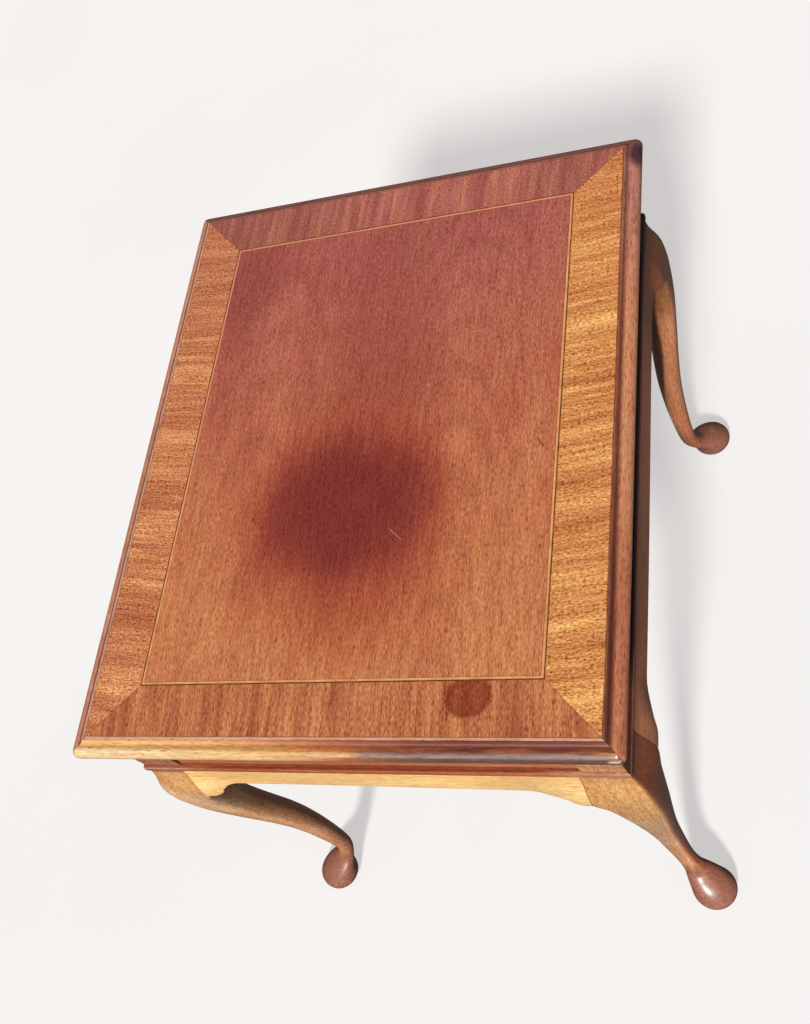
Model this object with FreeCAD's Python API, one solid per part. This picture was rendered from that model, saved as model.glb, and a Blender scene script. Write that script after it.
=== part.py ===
import FreeCAD, Part
import math
import os

# Occasional table in mahogany: a cross-banded veneered top with a moulded edge,
# a plain frieze with one drawer in the short front, a planted moulding, shaped
# aprons and four cabriole legs on pad feet.
#
# Millimetres. +Z up, the floor is z = 0, the origin is on the floor under the
# middle of the top. The drawer front faces -Y, the long sides are +X and -X.
#
# Two local measures are used all through the file:
#   d = depth below the top's upper face   (z = H - d)
#   e = distance outside the edge of the flat veneered field, in plan
#       (x = HX + e on the right side, y = -(HY + e) on the front)

V = FreeCAD.Vector
os.makedirs("parts", exist_ok=True)

# ------------------------------------------------------------------ dimensions
H = 620.0            # floor to the top's upper face
HX = 250.0           # half width of the flat veneered field
HY = 315.7           # half length of it

VENEER_T = 1.0       # face veneers and crossbands
CORE_D = 19.0        # underside of the solid core, as a depth
BAND_W = 50.75       # crossband, from the edge to the dark line
DARK_W = 1.4         # dark stringing line
LIGHT_W = 2.0        # light stringing line inside it

EDGE_OUT = 16.4      # edge moulding, greatest projection
EDGE_D = 20.4        # edge moulding, underside
EDGE_R = 7.0         # softened corners of the edge moulding, in plan

POST_E = -2.4        # outer faces of the leg posts and frieze
INSET = 44.0         # inner faces of posts and legs, inside the field's edge
INSET_FR = 47.5      # the same on the front of the right front leg, under the frieze
INSET_FL = 39.5      # and of the left front leg: the front apron was cut off centre
FRIEZE_T = 16.0      # side and back frieze panels
MOULD_D0 = 102.5     # planted base moulding, top
MOULD_D1 = 116.2     # planted base moulding, bottom
MOULD_E = 0.9        # planted base moulding, greatest projection
APRON_D0 = 117.0     # top of the aprons and of the carved part of the legs
APRON_D1 = 160.5     # lower edge of the aprons at mid length
BRACKET_D = 172.0    # lowest point of the aprons' bracket ends
APRON_T = 20.0
POST_D1 = 172.0      # squared inner corner of each leg blank ends here

RAIL_W = 45.0        # top rail and drawer rail, front to back
TOP_RAIL_D = 38.0    # underside of the top rail
DRAWER_GAP_L = 2.6   # beside the drawer front, left and right; the front sits
DRAWER_GAP_R = 0.8   # to the right in its opening
DRAWER_SET = 2.5     # drawer front stands back from the posts
FRONT_T = 18.0
SIDE_T = 9.0
DRAWER_LEN = 466.0
BOTTOM_T = 5.0

PX = HX - INSET      # 206, half the opening between the front posts
PY = HY - INSET      # 271.7


# --------------------------------------------------------------------- helpers
def box(x0, x1, y0, y1, z0, z1):
    return Part.makeBox(x1 - x0, y1 - y0, z1 - z0, V(x0, y0, z0))


def dbox(x0, x1, y0, y1, d0, d1):
    """Box between two depths below the top's upper face, d0 above d1."""
    return box(x0, x1, y0, y1, H - d1, H - d0)


def mirror_x(s):
    return s.mirror(V(0, 0, 0), V(1, 0, 0))


def mirror_y(s):
    return s.mirror(V(0, 0, 0), V(0, 1, 0))


def prism(points, direction):
    """Solid from a closed polygon of vectors, pushed along direction."""
    wire = Part.makePolygon(points + [points[0]])
    return Part.Face(wire).extrude(direction)


def wire_prism(edges, direction):
    return Part.Face(Part.Wire(edges)).extrude(direction)


def arc3(a, m, b):
    return Part.Arc(a, m, b).toShape()


def line(a, b):
    return Part.LineSegment(a, b).toShape()


def monotone(xs, ys):
    """Smooth curve through the points that never overshoots between them."""
    n = len(xs)
    h = [xs[i + 1] - xs[i] for i in range(n - 1)]
    s = [(ys[i + 1] - ys[i]) / h[i] for i in range(n - 1)]
    m = [0.0] * n
    m[0], m[-1] = s[0], s[-1]
    for i in range(1, n - 1):
        if s[i - 1] * s[i] > 0:
            w1, w2 = 2 * h[i] + h[i - 1], h[i] + 2 * h[i - 1]
            m[i] = (w1 + w2) / (w1 / s[i - 1] + w2 / s[i])

    def f(x):
        if x <= xs[0]:
            return ys[0]
        if x >= xs[-1]:
            return ys[-1]
        i = 0
        while x > xs[i + 1]:
            i += 1
        t = (x - xs[i]) / h[i]
        a, b = (1 + 2 * t) * (1 - t) ** 2, t * (1 - t) ** 2
        c, e = t * t * (3 - 2 * t), t * t * (t - 1)
        return a * ys[i] + b * h[i] * m[i] + c * ys[i + 1] + e * h[i] * m[i + 1]

    return f


made = {}


def keep(name, shape):
    solids = shape.Solids
    if len(solids) == 1:
        shape = solids[0]
    elif len(solids) > 1:
        shape = Part.makeCompound(solids)
    made[name] = shape


# ------------------------------------------------------------------------- top
# Solid core, lipped all round by the mitred edge moulding.
keep("top_core_panel", dbox(-HX, HX, -HY, HY, VENEER_T, CORE_D))

B1 = BAND_W                       # crossband inner edge, dark line outer edge
B2 = BAND_W + DARK_W              # dark line inner edge, light line outer edge
B3 = BAND_W + DARK_W + LIGHT_W    # light line inner edge, field edge
keep("field_veneer", dbox(-HX + B3, HX - B3, -HY + B3, HY - B3, 0, VENEER_T))


def frame_strips(outer, inner, depth):
    """Front, rear, left and right strips of a mitred border set into the face."""
    z = H - depth
    ox, oy, ix, iy = HX - outer, HY - outer, HX - inner, HY - inner
    up = V(0, 0, depth)
    front = prism([V(-ox, -oy, z), V(ox, -oy, z), V(ix, -iy, z), V(-ix, -iy, z)], up)
    right = prism([V(ox, -oy, z), V(ox, oy, z), V(ix, iy, z), V(ix, -iy, z)], up)
    return front, mirror_y(front), mirror_x(right), right


for side, s in zip(("front", "rear", "left", "right"), frame_strips(0, B1, VENEER_T)):
    keep("crossband_" + side, s)
keep("stringing_ebonised", Part.makeCompound(list(frame_strips(B1, B2, VENEER_T))))
keep("stringing_boxwood", Part.makeCompound(list(frame_strips(B2, B3, VENEER_T))))


# Edge moulding section, as (e, d): a narrow flat fillet level with the field, a
# small step, a shallow hollow and then a broad thumb turned well under.
def edge_section(at):
    """at(e, d) places a section point; returns the section's edges in order."""
    p = [at(0, 0), at(2.5, 0), at(2.7, 1.3), at(6.0, 3.3)]
    hollow = at(3.9, 2.8)
    # thumb: quarter ellipse from the hollow to the nose, then round under
    c_e, c_d, a, b = 6.0, 11.8, EDGE_OUT - 6.0, 11.8 - 3.3
    thumb = [at(c_e + a * math.sin(t), c_d - b * math.cos(t))
             for t in [math.pi / 2 * i / 12 for i in range(13)]]
    a2, b2 = EDGE_OUT - 10.2, EDGE_D - c_d
    under = [at(10.2 + a2 * math.cos(t), c_d + b2 * math.sin(t))
             for t in [math.pi / 2 * i / 8 for i in range(9)]]
    nose = Part.BSplineCurve()
    nose.interpolate(thumb + under[1:])
    return [line(p[0], p[1]), line(p[1], p[2]), arc3(p[2], hollow, p[3]),
            nose.toShape(), line(under[-1], at(0, EDGE_D)), line(at(0, EDGE_D), p[0])]


def mitre_prism(hx, hy, out, z0, z1):
    """Plan wedge of the front strip of a border that stands out of hx, hy."""
    k = 30.0
    pts = [V(-hx - out, -hy - out, z0), V(hx + out, -hy - out, z0),
           V(hx - k, -hy + k, z0), V(-hx + k, -hy + k, z0)]
    return prism(pts, V(0, 0, z1 - z0))


def rounded_plan(ax, ay, r, z0, z1):
    """Upright prism of a rectangle with rounded corners."""
    s = box(-ax, ax, -ay, ay, z0, z1)
    up = [e for e in s.Edges
          if abs(e.Vertexes[0].X - e.Vertexes[1].X) < 1e-6
          and abs(e.Vertexes[0].Y - e.Vertexes[1].Y) < 1e-6]
    return s.makeFillet(r, up)


def border(section, hx, hy, out, r, z0, z1):
    """Mitred front and right strips of a border with the given (e, d) section."""
    plan = rounded_plan(hx + out, hy + out, r, z0, z1)
    # front strip: the section stands in a plane of constant x
    f = wire_prism(section(lambda e, d: V(-hx - out - 5, -hy - e, H - d)),
                   V(2 * (hx + out + 5), 0, 0))
    f = f.common(mitre_prism(hx, hy, out + 2, z0, z1)).common(plan)
    # right strip: the section stands in a plane of constant y
    r_ = wire_prism(section(lambda e, d: V(hx + e, -hy - out - 5, H - d)),
                    V(0, 2 * (hy + out + 5), 0))
    k = 30.0
    o = out + 2
    wedge = prism([V(hx + o, -hy - o, z0), V(hx + o, hy + o, z0),
                   V(hx - k, hy - k, z0), V(hx - k, -hy + k, z0)], V(0, 0, z1 - z0))
    r_ = r_.common(wedge).common(plan)
    return f, mirror_y(f), mirror_x(r_), r_


for side, s in zip(("front", "rear", "left", "right"),
                   border(edge_section, HX, HY, EDGE_OUT, EDGE_R,
                          H - EDGE_D - 5, H + 5)):
    keep("edge_moulding_" + side, s)

# ------------------------------------------------------------------------ legs
# Sawn outlines of a leg, the same seen from the front and from the side:
# depth, outer line e, inner line e.
LEG = [
    (117.0, 0.2, -43.8), (122.0, 0.8, -43.8), (128.0, 1.9, -43.8),
    (136.0, 4.1, -43.8), (146.0, 7.1, -43.8), (157.0, 9.7, -43.8),
    (166.0, 11.1, -43.8), (172.0, 11.7, -43.5), (176.5, 12.0, -42.0),
    (180.0, 12.2, -39.8), (183.0, 12.3, -37.6), (186.5, 12.4, -35.8),
    (191.5, 12.5, -34.6), (199.0, 12.4, -33.8), (210.0, 12.1, -32.8),
    (224.0, 11.5, -31.5), (240.0, 10.5, -30.5), (260.0, 8.6, -30.2),
    (280.0, 6.3, -30.7), (300.0, 3.9, -31.7), (320.0, 1.4, -33.0),
    (340.0, -1.2, -34.4), (360.0, -3.6, -35.9), (380.0, -5.9, -37.2),
    (400.0, -7.9, -38.0), (420.0, -9.5, -38.4), (440.0, -10.7, -38.4),
    (460.0, -11.6, -38.1), (480.0, -12.2, -37.5), (500.0, -12.7, -36.7),
    (518.0, -13.0, -35.8), (534.0, -13.0, -34.8), (546.0, -12.5, -33.9),
    (555.0, -11.4, -32.9), (562.0, -9.6, -31.8), (568.0, -6.9, -30.5),
    (574.0, -2.7, -28.9), (579.0, 2.2, -27.5), (584.0, 8.6, -26.1),
    (589.0, 15.8, -24.8), (594.0, 22.3, -23.9), (599.0, 26.9, -23.4),
    (603.5, 28.8, -23.2), (607.5, 28.9, -23.0), (611.0, 27.7, -22.2),
    (614.5, 25.4, -20.4), (617.5, 22.3, -17.8), (620.0, 18.6, -14.6),
]
# how square the section is: depth, outer corner, side corners, inner corner
SQUARE = [
    (117.0, 18.0, 30.0, 30.0), (136.0, 13.0, 30.0, 30.0), (157.0, 9.0, 30.0, 30.0),
    (172.0, 7.2, 28.0, 28.0), (181.0, 6.2, 16.0, 16.0), (191.0, 5.4, 9.0, 9.0),
    (210.0, 4.5, 5.2, 5.0), (240.0, 3.6, 3.6, 3.2), (280.0, 3.0, 2.9, 2.6),
    (340.0, 2.7, 2.5, 2.3), (400.0, 2.45, 2.3, 2.15), (460.0, 2.25, 2.15, 2.05),
    (520.0, 2.1, 2.0, 2.0), (560.0, 2.0, 2.0, 2.0), (620.0, 2.0, 2.0, 2.0),
]
N_QUAD = 22          # section points per quadrant

# the front legs' inner faces, as the difference from the others
FR_IN = monotone([117, 200, 240, 280, 330, 380, 430],
                 [-3.5, -3.5, -4.0, -4.0, -2.5, -1.0, 0.0])


def inner_plain(d, ei):
    return ei


def inner_fr(d, ei):
    return ei + FR_IN(d)


def inner_fl(d, ei):
    return max(ei, 0.2 - INSET_FL)


def leg_surface(inner_x=inner_plain):
    """Closed solid of the carved part of a leg, placed as the right front one."""
    no = monotone([r[0] for r in SQUARE], [r[1] for r in SQUARE])
    ns = monotone([r[0] for r in SQUARE], [r[2] for r in SQUARE])
    ni = monotone([r[0] for r in SQUARE], [r[3] for r in SQUARE])
    # directions bunched towards the four corners of the section; 45 degrees is
    # the outer corner, 225 the inner one, and the seam is on an inner side
    angles = []
    for q in range(4):
        for k in range(N_QUAD):
            s = -1 + 2.0 * k / N_QUAD
            angles.append(180 + 90 * q + 45 + 45 * math.copysign(abs(s) ** 1.8, s))
    angles.append(angles[0] + 360)
    rows = []
    for d, eo, ei in LEG:
        c, a = (eo + ei) / 2, (eo - ei) / 2
        ex = inner_x(d, ei)
        cx, ax = (eo + ex) / 2, (eo - ex) / 2
        row = []
        for ang in angles:
            t = math.radians(ang)
            ct, st = math.cos(t), math.sin(t)
            if ct >= -1e-9 and st >= -1e-9:
                n = no(d)
            elif ct < 0 and st < 0:
                n = ni(d)
            else:
                n = ns(d)
            r = 1.0 / (abs(ct) ** n + abs(st) ** n) ** (1.0 / n)
            row.append(V(HX + cx + ax * r * ct, -(HY + c + a * r * st), H - d))
        row[-1] = V(row[0])
        rows.append(row)
    surf = Part.BSplineSurface()
    surf.interpolate(rows)
    skin = surf.toShape()
    caps = []
    for e in skin.Edges:
        zs = [v.Z for v in e.Vertexes]
        if e.isClosed() and abs(zs[0] - e.valueAt(
                (e.FirstParameter + e.LastParameter) / 2).z) < 1e-6:
            caps.append(Part.Face(Part.Wire([e])))
    shell = Part.makeShell([skin] + caps)
    shell.sewShape()
    solid = Part.makeSolid(shell if shell.ShapeType == "Shell" else shell.Shells[0])
    if solid.Volume < 0:
        solid.reverse()
    return solid


def whole_leg(inner_x, inset_x):
    """Carved part with its square post up to the underside of the top, and the
    squared blank behind the apron shoulders."""
    carved = leg_surface(inner_x)
    print("carved leg valid", carved.isValid(), "volume", round(carved.Volume))
    post = dbox(PX, HX + POST_E, -HY - POST_E, -PY, CORE_D, APRON_D0)
    blank = dbox(HX - inset_x, HX + POST_E, -HY - POST_E, -PY, APRON_D0, POST_D1)
    s = post.fuse(blank).fuse(carved).removeSplitter()
    print("leg", s.isValid(), len(s.Solids), round(s.Volume))
    return s


leg = whole_leg(inner_plain, INSET)
leg_fr = whole_leg(inner_fr, INSET_FR)
leg_fl = whole_leg(inner_fl, INSET_FL)

# --------------------------------------------------------------------- aprons
out_line = monotone([r[0] for r in LEG], [r[1] for r in LEG])


def smooth01(t):
    t = min(1.0, max(0.0, t))
    return t * t * (3 - 2 * t)


# How far the swelling of the knee runs along an apron: the inset where it starts
# to die away, and over what length. Both aprons are carved fuller beside the
# right front leg, and lean out a little at their lower edge towards it.
SLIM = (44.0, 36.0)
FULL = (57.0, 52.0)


class ApronShape:
    """Shape of one apron, made along X and facing -Y, with the field's edge at
    y = -other. j0 and j1 are its joints with the legs, e0 and e1 how the swelling
    ends there, lean the outward slope of its lower edge at either end."""

    def __init__(self, half, other, inset0, inset1, e0, e1, lean):
        self.half, self.other = half, other
        self.j0, self.j1 = -half + inset0, half - inset1
        self.e0, self.e1, self.lean = e0, e1, lean

    def swell(self, s, d):
        a, b = self.e0 if s < 0 else self.e1
        t = smooth01((self.half - abs(s) - a) / b)
        k = smooth01((s + self.half * 0.4) / self.half)
        slope = self.lean[0] + (self.lean[1] - self.lean[0]) * k
        run = min(1.2, max(0.0, (d - APRON_D0) / (APRON_D1 - APRON_D0)))
        return out_line(min(d, 181.0)) * (1 - t) + slope * run * t

    def outline(self, at):
        """Lower outline with bracket ends, as a closed wire. at(s, d)."""
        m, top, low = self.half, APRON_D0, BRACKET_D
        k = (73.0, 68.0, 63.6, 61.2, 60.2, 57.0)    # insets of the curve's points
        z = (APRON_D1, 161.4, 164.8, 164.4, 169.0, low)
        right = [
            arc3(at(m - k[0], z[0]), at(m - k[1], z[1]), at(m - k[2], z[2])),
            line(at(m - k[2], z[2]), at(m - k[3], z[3])),
            arc3(at(m - k[3], z[3]), at(m - k[4], z[4]), at(m - k[5], z[5])),
            line(at(m - k[5], z[5]), at(self.j1, low)),
            line(at(self.j1, low), at(self.j1, top)),
        ]
        left = [
            line(at(self.j0, top), at(self.j0, low)),
            line(at(self.j0, low), at(-m + k[5], z[5])),
            arc3(at(-m + k[5], z[5]), at(-m + k[4], z[4]), at(-m + k[3], z[3])),
            line(at(-m + k[3], z[3]), at(-m + k[2], z[2])),
            arc3(at(-m + k[2], z[2]), at(-m + k[1], z[1]), at(-m + k[0], z[0])),
        ]
        return (left + [line(at(-m + k[0], z[0]), at(m - k[0], z[0]))] + right
                + [line(at(self.j1, top), at(self.j0, top))])

    def solid(self):
        cols = []
        n = 72
        a, b = self.j0 - 6, self.j1 + 6
        ss = [a + (b - a) * i / n for i in range(n + 1)]
        ds = [108 + 4.0 * k for k in range(19)]
        for d in ds:
            cols.append([V(s, -self.other - self.swell(s, d), H - d) for s in ss])
        surf = Part.BSplineSurface()
        surf.interpolate(cols)
        body = surf.toShape().extrude(V(0, 60, 0))
        plate = wire_prism(self.outline(lambda s, d: V(s, -self.other + APRON_T, H - d)),
                           V(0, -APRON_T - 30, 0))
        a = plate.common(body).Solids[0]
        y0, y1 = -self.other - TEN_A[1], -self.other - TEN_A[0]
        a = a.fuse(dbox(self.j1, self.j1 + TEN_AL, y0, y1, 123.0, 150.0))
        a = a.fuse(dbox(self.j0 - TEN_AL, self.j0, y0, y1, 123.0, 150.0))
        return a.removeSplitter()


TEN_A = (-14.7, -5.7)                   # apron tenon, e of its inner and outer face
TEN_AL = 20.0                           # apron tenon length

apron_front = ApronShape(HX, HY, INSET_FL, INSET_FR, SLIM, FULL, (0.0, 1.4)).solid()
apron_rear = ApronShape(HX, HY, INSET, INSET, SLIM, SLIM, (0.0, 0.0)).solid()
# the side aprons are made the same way and turned a quarter turn, so that their
# -Y face becomes the +X face and their left end the front one
side_right = ApronShape(HY, HX, INSET, INSET, FULL, SLIM, (2.2, 0.9)).solid()
side_left = ApronShape(HY, HX, INSET, INSET, SLIM, SLIM, (0.0, 0.0)).solid()
for s in (side_right, side_left):
    s.rotate(V(0, 0, 0), V(0, 0, 1), 90)
keep("apron_front", apron_front)
keep("apron_rear", mirror_y(apron_rear))
keep("apron_right", side_right)
keep("apron_left", mirror_x(side_left))

# ------------------------------------------------------------- frieze and rails
FX1 = HX + POST_E                 # 247.6, outer face of the side frieze
FX0 = FX1 - FRIEZE_T              # 231.6
FY1 = HY + POST_E                 # 313.3
FY0 = FY1 - FRIEZE_T              # 297.3

frieze_right = dbox(FX0, FX1, -PY, PY, CORE_D, APRON_D0)
for s in (1, -1):
    y0, y1 = sorted((s * PY, s * (PY + 18)))
    frieze_right = frieze_right.fuse(dbox(FX0 + 3, FX0 + 11, y0, y1, 31, 101))
frieze_right = frieze_right.removeSplitter()
keep("frieze_panel_right", frieze_right)
keep("frieze_panel_left", mirror_x(frieze_right))

frieze_back = dbox(-PX, PX, FY0, FY1, CORE_D, APRON_D0)
for s in (1, -1):
    x0, x1 = sorted((s * PX, s * (PX + 18)))
    frieze_back = frieze_back.fuse(dbox(x0, x1, FY0 + 4, FY0 + 12, 31, 101))
frieze_back = frieze_back.removeSplitter()
keep("frieze_panel_back", frieze_back)


def rail(d0, d1, t0, t1):
    r = dbox(-PX, PX, -FY1, -FY1 + RAIL_W, d0, d1)
    for s in (1, -1):
        x0, x1 = sorted((s * PX, s * (PX + 15)))
        r = r.fuse(dbox(x0, x1, -FY1 + 10, -FY1 + 30, t0, t1))
    return r.removeSplitter()


top_rail = rail(CORE_D, TOP_RAIL_D, 24, 33)
drawer_rail = rail(MOULD_D0, APRON_D0, 107, 113)
RAIL_BACK = -FY1 + RAIL_W         # -268.3

# Mortises: the legs are cut by the tenons of everything that enters them.
legs = {"leg_front_right": leg_fr, "leg_front_left": mirror_x(leg_fl)}
legs["leg_rear_right"] = mirror_y(leg)
legs["leg_rear_left"] = mirror_y(mirror_x(leg))
joined = [made["apron_front"], made["apron_rear"], made["apron_left"],
          made["apron_right"], frieze_right, made["frieze_panel_left"],
          frieze_back, top_rail, drawer_rail]
for name, shape in legs.items():
    for t in joined:
        if shape.BoundBox.intersect(t.BoundBox):
            shape = shape.cut(t)
    keep(name, shape)
    print(name, shape.isValid(), len(shape.Solids), round(shape.Volume))


# Base moulding section, as (e, d): a narrow top fillet, then a flat ovolo.
def base_section(at):
    o = MOULD_E - POST_E
    p = [at(0, MOULD_D0), at(1.3, MOULD_D0), at(1.5, MOULD_D0 + 0.9)]
    nose = Part.BSplineCurve()
    nose.interpolate([p[2], at(2.45, MOULD_D0 + 1.9), at(o - 0.15, MOULD_D0 + 3.6),
                      at(o, MOULD_D0 + 6.2), at(o - 0.12, MOULD_D0 + 9.0),
                      at(o - 0.75, MOULD_D1 - 1.6), at(1.7, MOULD_D1)])
    return [line(p[0], p[1]), line(p[1], p[2]), nose.toShape(),
            line(at(1.7, MOULD_D1), at(0, MOULD_D1)), line(at(0, MOULD_D1), p[0])]


for side, s in zip(("front", "rear", "left", "right"),
                   border(base_section, HX + POST_E, HY + POST_E,
                          MOULD_E - POST_E, 1.2, H - MOULD_D1 - 3, H - MOULD_D0 + 3)):
    keep("base_moulding_" + side, s)

# --------------------------------------------------- runners, guides and kickers
GUIDE_X = PX - 1.9                # 204.1, inner face of each guide
BOX_X = PX - 2.9                  # 203.1, outer face of each drawer side


def bearer(d0, d1):
    """Strip beside the drawer, against the frieze panel and behind the posts."""
    a = dbox(186, PX, RAIL_BACK, FY0, d0, d1)
    b = dbox(PX, FX0, RAIL_BACK, PY - 3.5, d0, d1)
    return a.fuse(b).removeSplitter()


runner_right = bearer(MOULD_D0, APRON_D0)
kicker_right = bearer(CORE_D, TOP_RAIL_D)
guide_right = dbox(GUIDE_X, GUIDE_X + 14, RAIL_BACK, PY - 3.5, 85, MOULD_D0)
keep("drawer_runner_right", runner_right)
keep("drawer_runner_left", mirror_x(runner_right))
keep("drawer_guide_right", guide_right)
keep("drawer_guide_left", mirror_x(guide_right))


# Countersunk wood screws up through the kickers and top rail into the core.
def screw(x, y, d_head, length, head_r=3.8, shank_r=1.9, up=1):
    """Countersunk screw, its head at depth d_head, driven up (or down)."""
    z = H - d_head
    k = head_r - shank_r
    pts = [V(0, 0, 0), V(head_r, 0, 0), V(head_r, 0, 0.5 * up),
           V(shank_r, 0, (0.5 + k) * up), V(shank_r, 0, (length - 4) * up),
           V(0.4, 0, length * up), V(0, 0, length * up)]
    s = Part.Face(Part.makePolygon(pts + [pts[0]])).revolve(V(0, 0, 0), V(0, 0, 1), 360)
    if s.Volume < 0:
        s.reverse()
    # a straight slot across the head
    s = s.cut(box(-head_r - 1, head_r + 1, -0.45, 0.45, min(-1, 0.9 * up),
                  max(0.9 * up, -1) if up > 0 else 1))
    s.translate(V(x, y, z))
    return s


top_screws = [screw(x, y, TOP_RAIL_D - 4, 30) for x, y in
              ((-120, -292), (120, -292), (-218, -150), (218, -150),
               (-218, 150), (218, 150), (-196, 250), (196, 250))]


def screw_room(x, y, d_head, length, head_r=3.8, shank_r=1.9, below=20):
    """Counterbored hole that the screw fills, for cutting from the wood."""
    z = H - d_head
    k = head_r - shank_r
    pts = [V(0, 0, -below), V(head_r, 0, -below), V(head_r, 0, 0.5),
           V(shank_r, 0, 0.5 + k), V(shank_r, 0, length - 4),
           V(0.4, 0, length), V(0, 0, length)]
    s = Part.Face(Part.makePolygon(pts + [pts[0]])).revolve(V(0, 0, 0), V(0, 0, 1), 360)
    if s.Volume < 0:
        s.reverse()
    s.translate(V(x, y, z))
    return s


rooms = [screw_room(x, y, TOP_RAIL_D - 4, 30) for x, y in
         ((-120, -292), (120, -292), (-218, -150), (218, -150),
          (-218, 150), (218, 150), (-196, 250), (196, 250))]
room = Part.makeCompound(rooms)
keep("top_core_panel", made["top_core_panel"].cut(room))
keep("top_rail", top_rail.cut(room))
keep("drawer_kicker_right", kicker_right.cut(room))
keep("drawer_kicker_left", mirror_x(kicker_right).cut(room))
keep("drawer_rail", drawer_rail)
keep("top_fixing_screws", Part.makeCompound(top_screws))

# two stops on the drawer rail, behind the drawer front
BACK_OF_FRONT = -FY1 + DRAWER_SET + FRONT_T         # -292.8
keep("drawer_stops", Part.makeCompound(
    [dbox(x - 20, x + 20, BACK_OF_FRONT + 0.3, BACK_OF_FRONT + 8.3, 98, MOULD_D0)
     for x in (-120, 120)]))

# glue blocks in the angles between aprons and legs, two to a leg
blocks = []
for sx in (1, -1):
    for sy in (1, -1):
        for horizontal in (True, False):
            if horizontal:      # against the front or rear apron and the post
                px = HX - (INSET if sy > 0 else INSET_FR if sx > 0 else INSET_FL)
                x0, x1 = sorted((sx * (px - 20), sx * px))
                y0, y1 = sorted((sy * (HY - APRON_T - 20), sy * (HY - APRON_T)))
            else:               # against the side apron and the post
                x0, x1 = sorted((sx * (HX - APRON_T - 20), sx * (HX - APRON_T)))
                y0, y1 = sorted((sy * (PY - 20), sy * PY))
            blocks.append(dbox(x0, x1, y0, y1, APRON_D0, 149))
keep("glue_blocks", Part.makeCompound(blocks))

# ---------------------------------------------------------------------- drawer
Y_FACE = -FY1 + DRAWER_SET                          # -310.8
DF_D0, DF_D1 = TOP_RAIL_D + 1.5, MOULD_D0 - 1.0
front = dbox(-PX + DRAWER_GAP_L, PX - DRAWER_GAP_R, Y_FACE, BACK_OF_FRONT, DF_D0, DF_D1)
# shallow hand hold cut in the middle of the top edge
SCOOP_W, SCOOP_H = 104.0, 15.0
R = ((SCOOP_W / 2) ** 2 + SCOOP_H ** 2) / (2 * SCOOP_H)
front = front.cut(Part.makeCylinder(
    R, FRONT_T + 10, V(0, Y_FACE - 5, H - DF_D0 + R - SCOOP_H), V(0, 1, 0)))

LAP = 6.0                                           # wood left in front of the tails
y_side0 = Y_FACE + LAP
y_side1 = y_side0 + DRAWER_LEN
BOX_D0, BOX_D1 = TOP_RAIL_D + 3.5, MOULD_D0 - 0.4
bottom_d0, bottom_d1 = 91.5, 91.5 + BOTTOM_T


def tails(x0, x1):
    """Drawer side with dovetail tails at its front end."""
    s = dbox(x0, x1, BACK_OF_FRONT, y_side1, BOX_D0, BOX_D1)
    n = 3
    pitch = (BOX_D1 - BOX_D0) / n
    for i in range(n):
        mid = BOX_D0 + pitch * (i + 0.5)
        a, b = pitch * 0.27, pitch * 0.40           # narrow at the shoulder
        pts = [V(x0, BACK_OF_FRONT, H - mid - a), V(x0, BACK_OF_FRONT, H - mid + a),
               V(x0, y_side0, H - mid + b), V(x0, y_side0, H - mid - b)]
        s = s.fuse(prism(pts, V(x1 - x0, 0, 0)))
    return s.removeSplitter()


side_r = tails(BOX_X - SIDE_T, BOX_X)
bottom = dbox(-BOX_X + SIDE_T - 4, BOX_X - SIDE_T + 4, BACK_OF_FRONT - 4, y_side1 - 3,
              bottom_d0, bottom_d1)
back = dbox(-BOX_X + SIDE_T - 4, BOX_X - SIDE_T + 4, y_side1 - 18, y_side1 - 9,
            BOX_D0 + 5, bottom_d0)
side_r = side_r.cut(bottom).cut(back)
side_l = mirror_x(side_r)
front = front.cut(side_r).cut(side_l).cut(bottom)
# two small screws through the bottom into the back
b_rooms, b_screws = [], []
for x in (-90, 90):
    b_rooms.append(screw_room(x, y_side1 - 13.5, bottom_d1, 16, 2.6, 1.3, 2))
    b_screws.append(screw(x, y_side1 - 13.5, bottom_d1, 16, 2.6, 1.3))
b_room = Part.makeCompound(b_rooms)
keep("drawer_front", front)
keep("drawer_side_right", side_r)
keep("drawer_side_left", side_l)
keep("drawer_back", back.cut(b_room))
keep("drawer_bottom", bottom.cut(b_room))
keep("drawer_bottom_screws", Part.makeCompound(b_screws))

# ---------------------------------------------------------------------- export
total = None
for name in sorted(made):
    s = made[name]
    ok = s.isValid()
    bb = s.BoundBox
    print(f"{name:24s} valid={ok} solids={len(s.Solids)} vol={s.Volume:11.0f} "
          f"x[{bb.XMin:7.1f},{bb.XMax:7.1f}] y[{bb.YMin:7.1f},{bb.YMax:7.1f}] "
          f"z[{bb.ZMin:6.1f},{bb.ZMax:6.1f}]")
    s.exportStep(f"parts/{name}.step")
print(len(made), "nodes")
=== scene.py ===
import bpy
import bmesh
import math
from mathutils import Matrix, Vector, noise as mnoise


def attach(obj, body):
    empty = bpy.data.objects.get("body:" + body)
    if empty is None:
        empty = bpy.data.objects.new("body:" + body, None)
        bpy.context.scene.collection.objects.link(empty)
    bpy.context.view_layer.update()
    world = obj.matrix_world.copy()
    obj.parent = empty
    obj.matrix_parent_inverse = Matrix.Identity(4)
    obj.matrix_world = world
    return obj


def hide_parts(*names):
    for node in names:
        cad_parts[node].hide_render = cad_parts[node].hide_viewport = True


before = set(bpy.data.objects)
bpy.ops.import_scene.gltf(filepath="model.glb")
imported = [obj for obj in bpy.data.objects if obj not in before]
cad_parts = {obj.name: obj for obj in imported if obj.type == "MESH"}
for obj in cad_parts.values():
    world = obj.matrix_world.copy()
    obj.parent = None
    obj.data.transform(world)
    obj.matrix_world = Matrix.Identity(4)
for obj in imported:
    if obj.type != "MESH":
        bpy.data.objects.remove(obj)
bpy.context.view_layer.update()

# All lengths below are millimetres until a mesh is written, then metres.
# d = depth under the top's upper face, e = distance outside the flat field's edge.
MM = 0.001
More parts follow.
